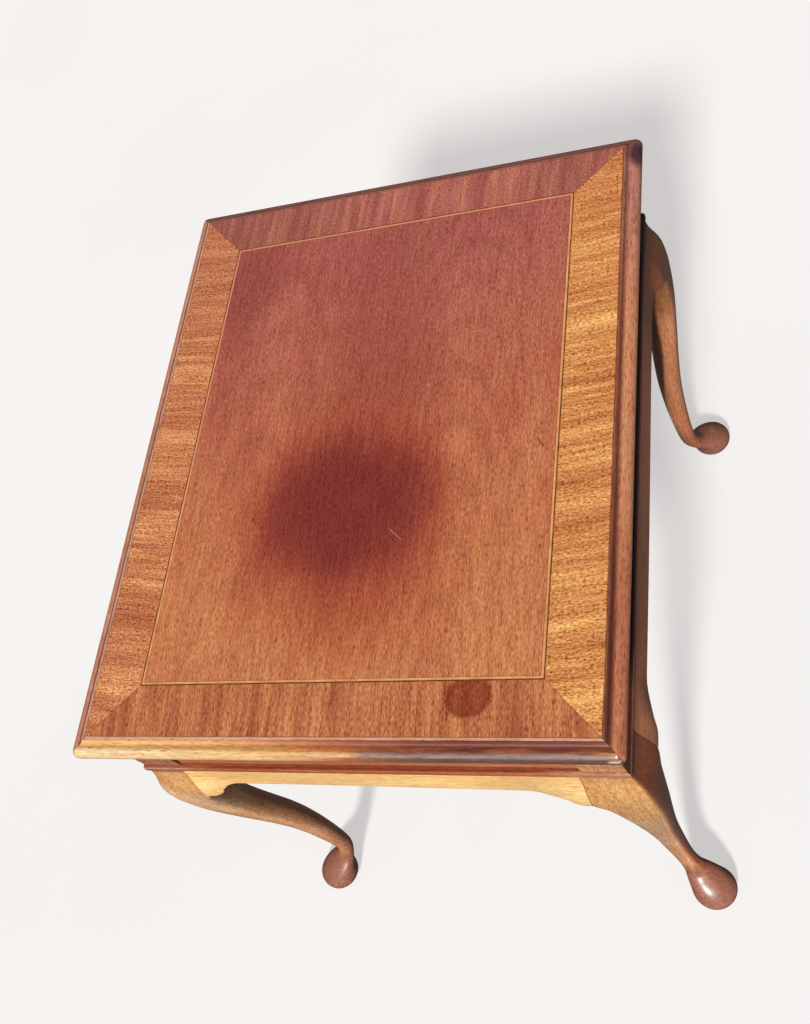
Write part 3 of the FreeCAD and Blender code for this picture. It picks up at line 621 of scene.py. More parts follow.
def field_material():
    m = Mat("field_mahogany", rough=0.36, coat=0.25, coat_rough=0.22, spec=0.4)
    f = m.wood(m.y, m.x, m.z, seed=2.3, wavy=0.0035, ripple=0.0003, grit=(210, 800),
               strand=(34, 300))
    # marks follow the grain: their outline is drawn out along it
    e1 = m.noise(m.scale(m.p, (95, 5, 1), (3, 0, 0)), 3, 0.6)
    e2 = m.noise(m.scale(m.p, (16, 9, 1), (0, 7, 0)), 3, 0.5)
    py = m.add(m.add(m.y, m.mul(m.sub(e1, 0.5), 0.05)), m.mul(m.sub(e2, 0.5), 0.05))
    px = m.add(m.x, m.mul(m.sub(e2, 0.5), 0.04))
    # darker, pinker and bluer from front to rear: the wood's own tone, and a painted sheen that grows towards
    # the rear
    base = m.ramp(m.lin01(py, -0.27, 0.24), [
        (0.0, col(200, 129, 86)), (0.1, col(198, 125, 83)), (0.3, col(194, 119, 81)),
        (0.53, col(185, 108, 80)), (0.66, col(180, 103, 81)), (0.82, col(176, 99, 83)),
        (1.0, col(169, 93, 83))])
    # browner at the right, but not at the rear
    base = m.mix(m.mul(m.step(m.x, 0.05, 0.19, 0, 0.3), m.step(m.y, 0.2, 0.05)), base,
                 col(192, 121, 82))
    # patches of pinker and yellower wood
    p1 = m.noise(m.scale(m.vec(m.y, f["v"], 0), (6, 18, 1), (1.3, 4, 0)), 3, 0.55)
    p2 = m.noise(m.scale(m.vec(m.y, f["v"], 0), (3, 44, 1), (7.3, 2, 0)), 3, 0.6)
    base = m.vary(base, m.sub(p1, 0.5), (0.35, 0.9, 0.75))
    base = m.vary(base, m.sub(p2, 0.5), (0.35, 0.7, 0.5))
    # crown figure: nested arches of a slightly tilted log
    for cx, cy, tilt, fr, k, sd in ((96, 40, 0.17, 210.0, 0.11, 0.0),
                                    (-120, -60, 0.15, 180.0, 0.09, 4.0)):
        xx = m.sub(f["v"], cx * MM)
        hh = m.add(m.mul(m.sub(m.y, cy * MM), tilt), 0.085)
        rr = m.op("SQRT", m.add(m.mul(xx, xx), m.mul(hh, hh)))
        rr = m.add(rr, m.mul(m.noise(m.scale(m.p, (9, 4, 1), (sd, sd, 0)), 2), 0.02))
        ring = m.op("SINE", m.mul(rr, fr * 6.283 * 0.5))
        ring = m.mul(m.step(ring, 0.1, 0.95), m.step(m.ab(xx), 0.10, 0.02))
        base = m.tint(base, m.sub(1.0, m.mul(ring, k)))
    base = m.mix(m.mul(m.blob(px, py, (-172, 205), (34, 70), 0.6), 0.6), base, col(140, 68, 60))
    base = m.mix(m.mul(m.blob(px, py, (-165, 80), (26, 60), 0.6), 0.2), base, col(150, 76, 62))
    base = m.mix(m.mul(m.blob(px, py, (6, 130), (52, 150), 0.6), 0.6), base, col(156, 83, 73))
    base = m.mix(m.mul(m.blob(px, py, (-2, 20), (72, 90), 0.6), 0.5), base, col(154, 75, 58))
    base = m.mix(m.mul(m.blob(px, py, (0, -176), (84, 62), 0.75), 0.62), base, col(168, 84, 55))
    base = m.mix(m.mul(m.blob(px, py, (-8, -92), (112, 112), 0.35), 0.85), base, col(166, 81, 59))
    base = m.mix(m.mul(m.blob(px, py, (-8, -88), (88, 88), 0.35), 0.85), base, col(148, 68, 55))
    base = m.mix(m.mul(m.blob(px, py, (-38, -52), (44, 46), 0.6), 0.5), base, col(128, 56, 50))
    base = m.mix(m.mul(m.blob(px, py, (-8, -88), (72, 68), 0.4), 0.93), base, col(124, 54, 48))
    c = m.vary(base, grain(m, f, 1.25, 0.7, 0.5, 0.22))
    # handling scratches, pale, with one dark crack
    marks = None
    for i, (a, b, w, k) in enumerate((
            ((86, -114), (132, -83), 0.45, 0.45), ((82, -132), (138, -82), 0.4, 0.35),
            ((90, -126), (147, -129), 0.45, 0.35), ((95, 101), (124, 106), 0.5, 0.4),
            ((86, 80), (109, 61), 0.4, 0.3), ((38, -112), (55, -128), 0.6, 0.6),
            ((22, -27), (46, 5), 0.35, 0.3), ((108, -140), (134, -135), 0.4, 0.25),
            ((-60, 150), (-52, 140), 0.5, 0.3), ((60, 20), (66, 60), 0.35, 0.2),
            ((150, 30), (132, 60), 0.35, 0.25), ((-90, -40), (-97, -20), 0.35, 0.25),
            ((-8, 90), (4, 84), 0.5, 0.3))):
        g = m.mul(m.seg(a, b, w, seed=i * 1.7), k)
        marks = g if marks is None else m.mx(marks, g)
    c = m.mix(marks, c, col(224, 160, 120))
    crack = m.seg((176, -27), (187, -42), 0.9, wob=0.001, seed=3)
    c = m.mix(m.mul(crack, 0.8), c, col(84, 38, 26))
    # brown line where the field meets the stringing
    ex = m.sub((HX - BAND_W - DARK_W - LIGHT_W) * MM, m.ab(m.x))
    ey = m.sub((HY - BAND_W - DARK_W - LIGHT_W) * MM, m.ab(m.y))
    rim = m.step(m.mn(ex, ey), 0.0011, 0.0003)
    c = m.mix(m.mul(rim, 0.55), c, col(138, 76, 46))
    rough = m.add(m.add(0.30, m.mul(m.noise(m.scale(m.p, (7, 7, 1)), 4, 0.6), 0.14)),
                  m.add(m.mul(marks, 0.2), m.mul(f["fibre"], 0.06)))
    h = m.sub(wood_height(m, f), m.add(m.mul(marks, 0.5), m.mul(crack, 1.2)))
    return m.finish(c, rough, h, 0.35, 0.00012)


def band_material(side):
    """Crossband: grain across the band, ribbon figure along it."""
    long_y = side in ("left", "right")
    m = Mat("crossband_" + side, rough=0.36, coat=0.25, coat_rough=0.22, spec=0.4)
    u, v = (m.x, m.y) if long_y else (m.y, m.x)
    seed = {"front": 11.0, "rear": 23.0, "left": 37.0, "right": 51.0}[side]
    slope = {"front": 0.05, "rear": -0.04, "left": 0.10, "right": -0.12}[side]
    vs = m.add(v, m.mul(u, slope))
    f = m.wood(u, vs, m.z, seed=seed, wavy=0.0018, ripple=0.0005,
               grit=(330, 700) if long_y or side == "rear" else (220, 800), strand=(16, 260))
    wob = m.mul(m.sub(m.noise(m.scale(m.vec(u, v, 0), (26, 9, 1), (seed, 0, 0)), 2), 0.5), 0.008)
    q = m.vec(u, m.add(vs, wob), m.z)
    r1 = m.noise(m.scale(q, (5, 62, 1), (seed, 0, 0)), 3, 0.62)
    r2 = m.noise(m.scale(q, (9, 150, 1), (0, seed, 0)), 2, 0.55)
    r = m.add(m.mul(r1, 0.6), m.mul(r2, 0.4))
    tones = {
        "right": [(0.36, (190, 118, 71)), (0.5, (213, 146, 87)), (0.64, (229, 169, 101))],
        "left": [(0.36, (178, 106, 74)), (0.5, (203, 132, 88)), (0.64, (222, 155, 103))],
        "front": [(0.36, (162, 91, 61)), (0.5, (184, 113, 75)), (0.64, (204, 135, 88))],
        "rear": [(0.36, (152, 85, 77)), (0.5, (168, 100, 87)), (0.64, (184, 115, 94))],
    }[side]
    c = m.ramp(r, [(p, col(*t)) for p, t in tones])
    if side == "rear":      # palest in the middle
        c = m.tint(c, m.add(m.step(m.x, -0.16, 0.0, 0.9, 1.12), m.step(m.x, 0.06, 0.2, 0, -0.13)))
    # now and then a redder ribbon
    rr = m.noise(m.scale(q, (3, 46, 1), (seed, 3.3, 0)), 2, 0.5)
    c = m.mix(m.mul(m.step(rr, 0.56, 0.68), 0.4), c,
              col(*{"right": (186, 104, 62), "left": (176, 94, 66), "front": (146, 74, 52),
                    "rear": (140, 72, 64)}[side]))
    if side == "left":      # redder towards the rear
        c = m.mix(m.step(m.y, 0.0, 0.28, 0, 0.45), c, col(172, 98, 78))
    if side == "right":
        c = m.mix(m.step(m.y, 0.15, 0.3, 0, 0.3), c, col(190, 112, 74))
    if side == "front":
        e1 = m.noise(m.scale(m.p, (70, 40, 1), (1, 0, 0)), 3, 0.6)
        e2 = m.noise(m.scale(m.p, (160, 160, 1), (2, 0, 0)), 2, 0.6)
        px = m.add(m.x, m.mul(m.sub(e1, 0.5), 0.007))
        py = m.add(m.y, m.mul(m.sub(e1, 0.5), 0.007))
        spot = m.blob(px, py, (133, -279), (20, 18.5), 0.13)
        inner = m.blob(px, py, (133, -279), (15.0, 13.5), 0.3)
        c = m.mix(m.mul(spot, m.add(0.5, m.mul(e2, 0.6))), c, col(126, 50, 31))
        c = m.mix(m.mul(inner, 0.45), c, col(164, 86, 58))
    amounts = {"front": (1.5, 0.95, 0.6, 0.25), "rear": (1.3, 0.6, 0.4, 0.15)}
    c = m.vary(c, grain(m, f, *amounts.get(side, (2.0, 0.85, 0.6, 0.25))))
    rough = m.add(m.add(0.30, m.mul(m.noise(m.scale(m.p, (8, 8, 1)), 4, 0.6), 0.14)),
                  m.mul(f["fibre"], 0.06))
    # hairline of the mitre and of the joint with the moulding
    ex = m.sub(HX * MM, m.ab(m.x))
    ey = m.sub(HY * MM, m.ab(m.y))
    mit = m.step(m.ab(m.sub(ex, ey)), 0.0007, 0.0002)
    rim = m.step(m.mn(ex, ey), 0.0009, 0.0002)
    line = m.mx(m.mul(mit, 0.55), m.mul(rim, 0.6))
    if side == "right":         # dark polish runs in from the moulding
        edge = m.add(ex, m.mul(m.sub(m.noise(m.scale(m.p, (1, 55, 1), (9, 2, 0)), 3), 0.5), 0.002))
        c = m.mix(m.mul(m.step(edge, 0.0019, 0.0010), 0.8), c, col(116, 62, 46))
    if side == "front":         # the worn edge
        edge = m.add(ey, m.mul(m.sub(m.noise(m.scale(m.p, (60, 1, 1), (9, 2, 0)), 3), 0.5), 0.001))
        c = m.mix(m.mul(m.step(edge, 0.0024, 0.0018), 0.6), c, col(120, 66, 50))
        # the pale line at the edge is wear, and a painted highlight on the arris
        c = m.mix(m.mul(m.step(edge, 0.0015, 0.0010), 0.8), c, col(226, 172, 146))
        line = m.mul(mit, 0.55)
    c = m.mix(line, c, col(92, 44, 28))
    return m.finish(c, rough, m.sub(wood_height(m, f), m.mul(line, 0.8)), 0.35, 0.00012)


def edge_material(side):
    gloss = {"left": (0.2, 0.3), "front": (0.5, 0.2)}.get(side, (0.6, 0.14))
    m = Mat("edge_moulding_" + side, rough=0.30, coat=gloss[0], coat_rough=gloss[1], spec=0.5)
    along, across = (m.x, m.y) if side in ("front", "rear") else (m.y, m.x)
    seed = {"front": 61.0, "rear": 67.0, "left": 71.0, "right": 79.0}[side]
    f = m.wood(along, m.add(across, m.z), m.z, seed=seed, wavy=0.0015, ripple=0.0004,
               grit=(110, 700), strand=(22, 300))
    e, d, ex, ey = edge_measures(m)
    n1 = m.noise(m.scale(m.p, (14, 14, 40), (seed, 0, 0)), 3, 0.6)
    n2 = m.noise(m.scale(m.p, (34, 34, 60), (seed, 5, 0)), 3, 0.6)
    w1 = m.sub(n1, 0.5)
    k = {"front": 1 / 1.4, "rear": 1.4, "left": 1.2, "right": 1 / 0.93}[side]
    if side == "front":
        # pale and worn at the left, red over pale in the middle, dark and rubbed grey
        # at the right, golden again at the mitre
        nl = m.add(m.x, m.mul(w1, 0.10))
        upper = m.ramp(m.lin01(nl, -0.27, 0.26), [
            (0.0, col(224, 180, 114, k)), (0.3, col(216, 166, 102, k)),
            (0.48, col(206, 128, 66, k)), (0.6, col(156, 86, 56, k)),
            (0.8, col(112, 56, 44, k)), (1.0, col(122, 66, 50, k))])
        lower = m.ramp(m.lin01(nl, -0.27, 0.26), [
            (0.0, col(255, 222, 172, k)), (0.15, col(252, 212, 160, k)),
            (0.31, col(248, 202, 146, k)), (0.4, col(242, 190, 130, k)),
            (0.53, col(240, 184, 138, k)), (0.62, col(204, 160, 142, k)),
            (0.76, col(172, 146, 140, k)), (1.0, col(140, 104, 94, k))])
        # brown streaks in the dark part
        st = m.noise(m.scale(m.vec(m.x, d, 0), (26, 0.9, 1), (4, 0, 0)), 3, 0.6)
        upper = m.mix(m.mul(m.step(st, 0.45, 0.6), m.step(m.x, -0.02, 0.06, 0, 0.75)), upper,
                      col(170, 98, 58, k))
        nose = m.step(m.add(m.add(d, m.mul(w1, 2.5)), m.step(m.x, 0.0, 0.08, 0, -1.1)), 3.3, 4.5)
        c = m.mix(nose, upper, lower)
        # a grey band along the nose, dark polish left under it
        grey = m.mul(m.win(nl, 0.03, 0.245, 0.012), m.step(m.add(d, m.mul(w1, 2.5)), 3.8, 4.9))
        c = m.mix(m.mul(grey, m.add(0.5, m.mul(n2, 0.5))), c, col(136, 122, 123, k))
        under = m.mul(m.step(m.add(d, m.mul(w1, 2.0)), 6.0, 7.6), m.step(m.x, -0.04, 0.03, 0, 0.85))
        c = m.mix(under, c, m.mix(m.step(m.x, 0.02, 0.1), col(178, 112, 76, k), col(116, 74, 58, k)))
        # golden streaks at the mitre, and a painted highlight on the nose beside it
        sg = m.noise(m.scale(m.vec(m.x, d, 0), (40, 1.6, 1), (7, 0, 0)), 2, 0.6)
        sg = m.mul(m.step(sg, 0.42, 0.56), m.step(m.x, 0.236, 0.25, 0, 0.7))
        c = m.mix(m.mul(sg, m.step(d, 6.4, 5.0)), c, col(210, 148, 84, k))
        corner_highlight = m.blob(m.add(m.x, m.mul(w1, 0.01)), m.z, (257, 611.0), (4.8, 1.5), 0.6)
        c = m.mix(m.mul(corner_highlight, 0.8), c, col(246, 220, 198, k))
        low = m.step(m.add(d, m.mul(w1, 3.0)), 13.0, 16.5)
        c = m.mix(m.mul(low, 0.15), c, col(214, 156, 110, k))
    else:
        body = {"rear": (150, 96, 84), "left": (188, 128, 100), "right": (181, 112, 82)}[side]
        c = m.vary(col_node(m, col(*body, k)), m.sub(n1, 0.5), (0.5, 0.8, 1.0))
        if side == "right":     # rubbed lighter in the middle, golden at the front mitre
            c = m.mix(m.step(m.add(m.y, m.mul(w1, 0.1)), -0.22, -0.05), c, col(199, 135, 98, k))
            c = m.mix(m.mul(m.step(m.add(m.y, m.mul(w1, 0.02)), -0.304, -0.320, 0, 0.55),
                            m.step(e, 12.5, 9.0)), c, col(206, 146, 92, k))
            c = m.mix(m.step(m.y, 0.08, 0.24), c, col(180, 118, 100, k))
    # painted shade in the hollow and in the step
    if side == "front":     # hardly any where the moulding is rubbed pale
        dark = m.ramp(m.lin01(m.x, -0.27, 0.26), [
            (0.0, col(222, 170, 112)), (0.3, col(208, 150, 98)), (0.5, col(164, 96, 66)),
            (0.7, col(112, 56, 44)), (1.0, col(112, 58, 46))])
    else:
        dark = col_node(m, col(*{"rear": (104, 60, 54), "left": (112, 66, 56),
                                 "right": (88, 42, 33)}[side]))
        if side == "right":
            dark = m.mix(m.step(m.y, -0.2, 0.1), dark, col(124, 64, 47))
            dark = m.mix(m.step(m.y, 0.1, 0.24), dark, col(142, 88, 74))
    lo = {"right": -0.6, "front": 0.9}.get(side, 1.9)
    top_e, low_e = (8.6, 3.8) if side == "right" else (7.6, 5.8)
    far = m.step(m.y, -0.25, -0.05, 0, 0.8) if side == "right" else 0.0
    hollow_shade = m.mul(m.step(e, lo, lo + 0.7),
                   m.step(m.add(m.add(e, far), m.mul(w1, 1.6)), top_e, low_e))
    c = m.mix(m.mul(hollow_shade, m.add(0.72, m.mul(n1, 0.4))), c, dark)
    # pale fillet and arris: wear, and a painted highlight where the arris catches the light
    pale = {"front": (228, 182, 158), "rear": (172, 122, 108), "left": (192, 160, 150),
            "right": (200, 140, 110)}[side]
    a0, a1 = {"right": (-1.0, 0.5), "front": (-1.0, 0.9)}.get(side, (0.3, 2.5))
    arris_wear_and_highlight = m.mul(m.step(e, a0 - 0.1, a0 + 0.6), m.step(e, a1 + 0.3, a1 - 0.1))
    wn = m.step(n2, 0.28, 0.6)
    ar_k = (0.0, 0.4) if side == "right" else (0.45, 0.4)
    c = m.mix(m.mul(arris_wear_and_highlight, m.add(ar_k[0], m.mul(wn, ar_k[1]))), c, col(*pale))
    # wear on the nose
    if side != "front":
        nw = m.mul(m.step(m.ab(m.sub(e, EDGE_OUT)), 2.2, 0.2), m.step(n2, 0.5, 0.7))
        c = m.mix(m.mul(nw, 0.3), c, col(224, 170, 130))
    # dark bruise at the right rear corner
    if side in ("right", "rear"):
        br = m.blob(m.add(m.x, m.mul(w1, 0.008)), m.add(m.y, m.mul(w1, 0.02)), (262, 306), (8, 17), 0.5)
        c = m.mix(m.mul(m.step(m.y, 0.29, 0.325), 0.6), c, col(112, 66, 58))
        c = m.mix(m.mul(br, 0.85), c, col(44, 32, 46))
    mit = m.step(m.ab(m.sub(ex, ey)), 0.6, 0.15)
    c = m.mix(m.mul(mit, 0.55), c, col(84, 40, 26))
    c = m.vary(c, grain(m, f, 0.7, 0.6, 0.4, 0.4), (1.0, 1.3, 1.7))
    rough = m.add(m.add(0.22, m.mul(n1, 0.16)), m.mul(hollow_shade, 0.2))
    return m.finish(c, rough, m.sub(wood_height(m, f), m.mul(mit, 0.8)), 0.4, 0.00015,
                    side != "front")


def col_node(m, c):
    """A colour as a node, so that it can be multiplied."""
    n = m.t.nodes.new("ShaderNodeRGB")
    n.outputs[0].default_value = lin(c)
    return n.outputs[0]


def plain_wood(name, axis, tones, seed, k=1.0, rough=0.32, coat=0.4, coat_rough=0.16,
               amount=(0.8, 0.6, 0.4, 0.3), fn=None, bump=0.4, dist=0.00015, coat_bump=True,
               grit=(110, 650), strand=(20, 280), spec=0.45, ks=(1.0, 1.4, 1.9)):
    m = Mat(name, rough=rough, coat=coat, coat_rough=coat_rough, spec=spec)
    if axis == "x":
        u, v, w = m.x, m.add(m.z, m.mul(m.y, 0.35)), m.y
    elif axis == "y":
        u, v, w = m.y, m.add(m.z, m.mul(m.x, 0.35)), m.x
    else:
        u, v, w = m.z, m.add(m.x, m.mul(m.y, 0.6)), m.y
    f = m.wood(u, v, w, seed=seed, wavy=0.003, ripple=0.0005, grit=grit, strand=strand)
    cloud = m.noise(m.scale(m.p, (6, 6, 6), (seed, 0, 0)), 3, 0.55)
    t = m.add(m.mul(f["band"], 0.6), m.mul(cloud, 0.4))
    c = m.ramp(t, [(0.36, col(*tones[0], k)), (0.5, col(*tones[1], k)),
                   (0.64, col(*tones[2], k))])
    if fn:
        c = fn(m, c, f, cloud)
    c = m.vary(c, grain(m, f, *amount), ks)
    r = m.add(rough - 0.06, m.add(m.mul(cloud, 0.12), m.mul(f["fibre"], 0.05)))
    return m.finish(c, r, wood_height(m, f), bump, dist, coat_bump)


def leg_extra(m, c, f, cloud):
    kf = AP
    z = m.add(m.z, m.mul(m.sub(f["band"], 0.5), 0.12))
    kx = m.sub(m.ab(m.x), HX * MM)
    ky = m.sub(m.ab(m.y), HY * MM)
    # the left front knee is the palest
    knee = m.mul(m.win(z, 0.37, 0.452, 0.02), m.mul(m.step(m.x, 0.05, -0.05), m.step(m.y, 0.0, -0.1)))
    # pinker and browner down the leg, redder polish on the foot
    c = m.mix(m.step(z, 0.44, 0.33, 0, 0.6), c, col(212, 158, 120, kf))
    c = m.mix(m.step(z, 0.30, 0.16, 0, 0.6), c, col(208, 146, 104, kf))
    c = m.mix(m.mul(knee, 0.75), c, col(238, 194, 152, kf))
    right = m.mul(m.step(m.x, -0.05, 0.05), m.step(m.y, 0.05, -0.05))
    c = m.mix(m.mul(m.mul(m.win(z, 0.17, 0.40, 0.03), right), 0.5), c, col(240, 194, 152, kf))
    ankle = m.mul(m.step(z, 0.17, 0.10), m.step(m.x, 0.05, -0.05))
    c = m.mix(m.mul(ankle, 0.6), c, col(152, 98, 70, kf))
    c = m.mix(m.step(z, 0.078, 0.045, 0, 0.94), c, col(139, 92, 77, kf))
    # painted shade: the side faces of the legs, turned from the light, redder and darker than their fronts
    rear = m.step(m.y, -0.05, 0.05)
    flank_shade = m.mul(m.step(m.sub(kx, ky), -0.002, 0.006), m.step(z, 0.02, 0.08))
    c = m.mix(m.mul(flank_shade, m.lerp(0.85, 0.6, rear)), c, col(152, 80, 57, kf))
    # the rear legs: painted light below, painted shadow where they come out from under the top
    c = m.tint(c, m.add(1.0, m.mul(rear, m.add(m.mul(m.win(z, 0.10, 0.37, 0.03), 0.75),
                                               m.mul(m.step(z, 0.40, 0.44), -0.25)))))
    # painted shade on the inner faces, less so on the right front leg
    mid = m.add(-0.0107, m.mul(m.sub(m.z, 0.42), 0.05))
    high = m.win(m.z, 0.10, 0.45, 0.02)
    inner = m.mul(m.step(m.sub(kx, mid), -0.011, -0.016), high)
    c = m.mix(m.mul(m.mul(inner, m.sub(1.0, m.mx(right, rear))), 0.28), c, col(110, 64, 45, kf))
    narrow = m.step(m.z, 0.32, 0.16, 0, 0.011)
    inner = m.mul(m.step(m.add(m.sub(kx, mid), narrow), 0.002, -0.003), high)
    c = m.mix(m.mul(m.mul(inner, rear), 0.9), c, col(66, 32, 22, kf))
    # the blocks
    c = m.tint(c, m.mul(m.step(z, 0.43, 0.46, 1.0, 0.88), m.step(m.z, 0.4985, 0.5035, 1.0, 1.2)))
    # the square posts, in the frieze
    c = m.mix(m.mul(m.step(m.z, 0.4985, 0.5035), m.step(m.x, 0.0, -0.1, 0.6, 0.9)), c,
              m.mix(m.step(m.x, 0.0, -0.1), col(176, 122, 100, kf), col(156, 98, 74, kf)))
    # painted shade on the right-hand faces of the posts, under the overhang
    side_post_shade = m.mul(m.step(m.z, 0.4985, 0.5035), m.step(m.sub(kx, ky), -0.002, 0.004))
    c = m.mix(m.mul(m.mul(side_post_shade, 0.8), m.step(m.x, 0.0, 0.1)), c, col(92, 52, 36))
    # pale line down the knee's arris: wear, and a painted highlight
    arris_wear_and_highlight = m.step(m.ab(m.sub(kx, ky)), 0.006, 0.001)
    arris_wear_and_highlight = m.mul(arris_wear_and_highlight, m.mul(m.step(m.z, 0.28, 0.36), m.step(m.z, 0.50, 0.47)))
    c = m.mix(m.mul(arris_wear_and_highlight, 0.25), c, col(224, 172, 122, kf))
    # a painted highlight down the ankle of the right front leg
    ankle_highlight = m.step(m.ab(m.add(m.sub(kx, ky), 0.0038)), 0.0013, 0.0005)
    ankle_highlight = m.mul(m.mul(ankle_highlight, right), m.mul(m.step(m.z, 0.058, 0.075), m.step(m.z, 0.23, 0.18)))
    c = m.mix(m.mul(ankle_highlight, 0.6), c, col(248, 206, 172, kf))
    # the joints with the aprons
    for jx in (HX - INSET_FR, -(HX - INSET_FL)):
        j = m.mul(m.step(m.ab(m.sub(m.x, jx * MM)), 0.0009, 0.0003),
                  m.mul(m.step(m.y, -0.29, -0.30), m.win(m.z, 0.449, 0.503, 0.001)))
        c = m.mix(m.mul(j, 0.55), c, col(120, 72, 42))
    return c


def apron_extra(m, c, f, cloud):
    kf = AP
    # brown dashes of the grain
    dash = m.noise(m.scale(f["q"], (42, 620, 620), (3, 1, 0)), 1, 0.5)
    dash = m.step(dash, 0.60, 0.70)
    big = m.step(m.noise(m.scale(m.p, (9, 9, 30), (4, 2, 0)), 2, 0.5), 0.36, 0.58)
    c = m.mix(m.mul(m.mul(dash, big), 0.62), c, col(150, 88, 44, kf))
    low = m.step(m.z, (H - 140) * MM, (H - 175) * MM)
    c = m.mix(m.mul(low, 0.18), c, col(176, 116, 66, kf))
    ends = m.add(m.step(m.x, 0.09, 0.16, 0, 0.20), m.step(m.x, -0.15, -0.18, 0, 0.10))
    c = m.tint(c, m.sub(1.07, m.mul(ends, m.step(m.y, 0.0, -0.1))))
    c = m.mix(m.mul(m.step(m.x, 0.2, 0.23), m.step(m.y, 0.12, 0.22, 0, 0.6)), c, col(112, 58, 38, kf))
    for jx in (HX - INSET_FR, -(HX - INSET_FL)):
        j = m.mul(m.step(m.ab(m.sub(m.x, jx * MM)), 0.0009, 0.0003), m.step(m.y, -0.29, -0.30))
        c = m.mix(m.mul(j, 0.55), c, col(120, 72, 42))
    return c


def base_extra(m, c, f, cloud):
    kf = 1.0
    n = m.noise(m.scale(m.p, (30, 30, 30), (6, 6, 0)), 3, 0.6)
    d = m.mul(m.sub(H * MM, m.z), 1000.0)
    front = m.step(m.sub(m.sub(m.ab(m.y), m.ab(m.x)), (HY - HX) * MM), -0.0004, 0.0004)
    # paler and pinker at both ends, more golden in the right half
    c = m.mix(m.mul(front, m.step(m.x, 0.02, 0.12, 0, 0.5)), c, col(190, 112, 68, kf))
    c = m.mix(m.mul(front, m.step(m.add(m.ab(m.x), m.mul(m.sub(n, 0.5), 0.06)), 0.16, 0.20, 0, 0.88)),
              c, m.mix(m.step(m.x, -0.1, 0.1), col(144, 90, 66, kf), col(176, 124, 90, kf)))
    # painted shade in the crease along the top of the moulding, strongest in the middle
    crease_shade = m.mul(front, m.step(m.ab(m.x), 0.15, 0.2, 0.85, 0.3))
    c = m.mix(m.mul(m.step(d, MOULD_D0 + 2.4, MOULD_D0 + 1.2), crease_shade), c, col(106, 42, 24, kf))
    # a painted highlight along the top of the moulding over the left post
    post_highlight = m.mul(m.win(d, MOULD_D0 + 2.0, MOULD_D0 + 4.0, 0.5), m.step(m.x, -0.185, -0.205))
    c = m.mix(m.mul(post_highlight, m.mul(front, 0.35)), c, col(220, 180, 156, kf))
    # a painted highlight along the nose, brighter at the left, over a painted shadow along the lower edge
    nose_highlight = m.add(0.5, m.mul(m.step(n, 0.35, 0.6), 0.5))
    nose_highlight = m.mul(nose_highlight, m.step(m.ab(m.x), 0.13, 0.19, 0.12, 0.9))
    low = m.mul(m.win(d, MOULD_D1 - 4.4, MOULD_D1 - 1.8, 0.5), m.mul(nose_highlight, front))
    c = m.mix(m.mul(low, 0.9), c, col(242, 196, 172))
    c = m.mix(m.mul(m.step(d, MOULD_D1 - 1.6, MOULD_D1 - 0.9), 0.8), c, col(96, 40, 28))
    # the long sides: painted shadow along the top edge, near black from behind the right front leg to the
    # rear, and a painted highlight on that edge near the leg
    side = m.mul(m.sub(1.0, front), m.step(m.x, 0.0, 0.1))
    top = m.step(d, MOULD_D0 + 3.4, MOULD_D0 + 2.2)
    c = m.mix(m.mul(m.mul(top, side), 0.92), c, m.mix(m.step(m.y, -0.19, -0.205), (24, 13, 11), (58, 32, 25)))
    edge_highlight = m.mul(m.step(m.y, -0.19, -0.205), m.win(d, MOULD_D0 + 2.2, MOULD_D0 + 3.6, 0.4))
    c = m.mix(m.mul(m.mul(edge_highlight, side), 0.85), c, col(186, 128, 84))
    # painted shadow at the rear end of the right side
    return m.mix(m.mul(m.mul(m.step(m.x, 0.1, 0.2), m.step(m.y, 0.20, 0.27)), 0.9), c, col(44, 26, 22))


def drawer_extra(m, c, f, cloud):
    """Paler towards the right."""
    return m.mix(m.step(m.x, 0.0, 0.12, 0, 0.8), c, col(182, 118, 86, AP))


def frieze_painted_shade(m, c, f, cloud):
    """Painted shade under the overhang: dark over the base moulding, fading upwards."""
    z = m.add(m.z, m.mul(m.sub(cloud, 0.5), 0.012))
    return m.mix(m.mul(m.step(z, 0.562, 0.540), 0.94), c, col(52, 26, 19))


def steel_material():
    m = Mat("old_steel", rough=0.45)
    m.b.inputs["Metallic"].default_value = 0.9
    n = m.noise(m.scale(m.p, (900, 900, 900)), 4, 0.6)
    c = m.ramp(n, [(0.35, (70, 62, 54)), (0.55, (128, 122, 114)), (0.75, (96, 70, 50))])
    return m.finish(c, m.add(0.35, m.mul(n, 0.3)), n, 0.4, 0.0001)


def line_material(name, tones, seed, far=None):
    m = Mat(name, rough=0.34, coat=0.25, coat_rough=0.22, spec=0.4)
    n = m.noise(m.scale(m.vec(m.x, m.y, m.z), (60, 60, 60), (seed, 0, 0)), 3, 0.6)
    g = m.noise(m.scale(m.vec(m.x, m.y, m.z), (700, 700, 700), (seed, 0, 0)), 2, 0.6)
    c = m.ramp(m.add(m.mul(n, 0.65), m.mul(g, 0.35)),
               [(0.38, col(*tones[0])), (0.5, col(*tones[1])), (0.62, col(*tones[2]))])
    if far:             # pinker towards the rear and the left
        c = m.mix(m.step(m.sub(m.y, m.mul(m.x, 0.8)), -0.05, 0.25, 0, 0.8), c, col(*far))
    return m.finish(c, m.add(0.3, m.mul(g, 0.12)), g, 0.3, 0.0001)


def glow_material(name, tone, diffuse, emit):
    """Matt studio surface that is pale by itself and still takes a shadow."""
    m = Mat(name, rough=0.8, spec=0.0)
    n = m.noise(m.scale(m.p, (1.3, 1.3, 1.3)), 3, 0.5)
    c = m.ramp(n, [(0.3, tuple(v - 2 for v in tone)), (0.7, tuple(v + 2 for v in tone))])
    m.put(m.b.inputs["Emission Color"], c)
    m.b.inputs["Emission Strength"].default_value = emit
    m.m.cycles.emission_sampling = "NONE"
    return m.finish(m.tint(c, diffuse))


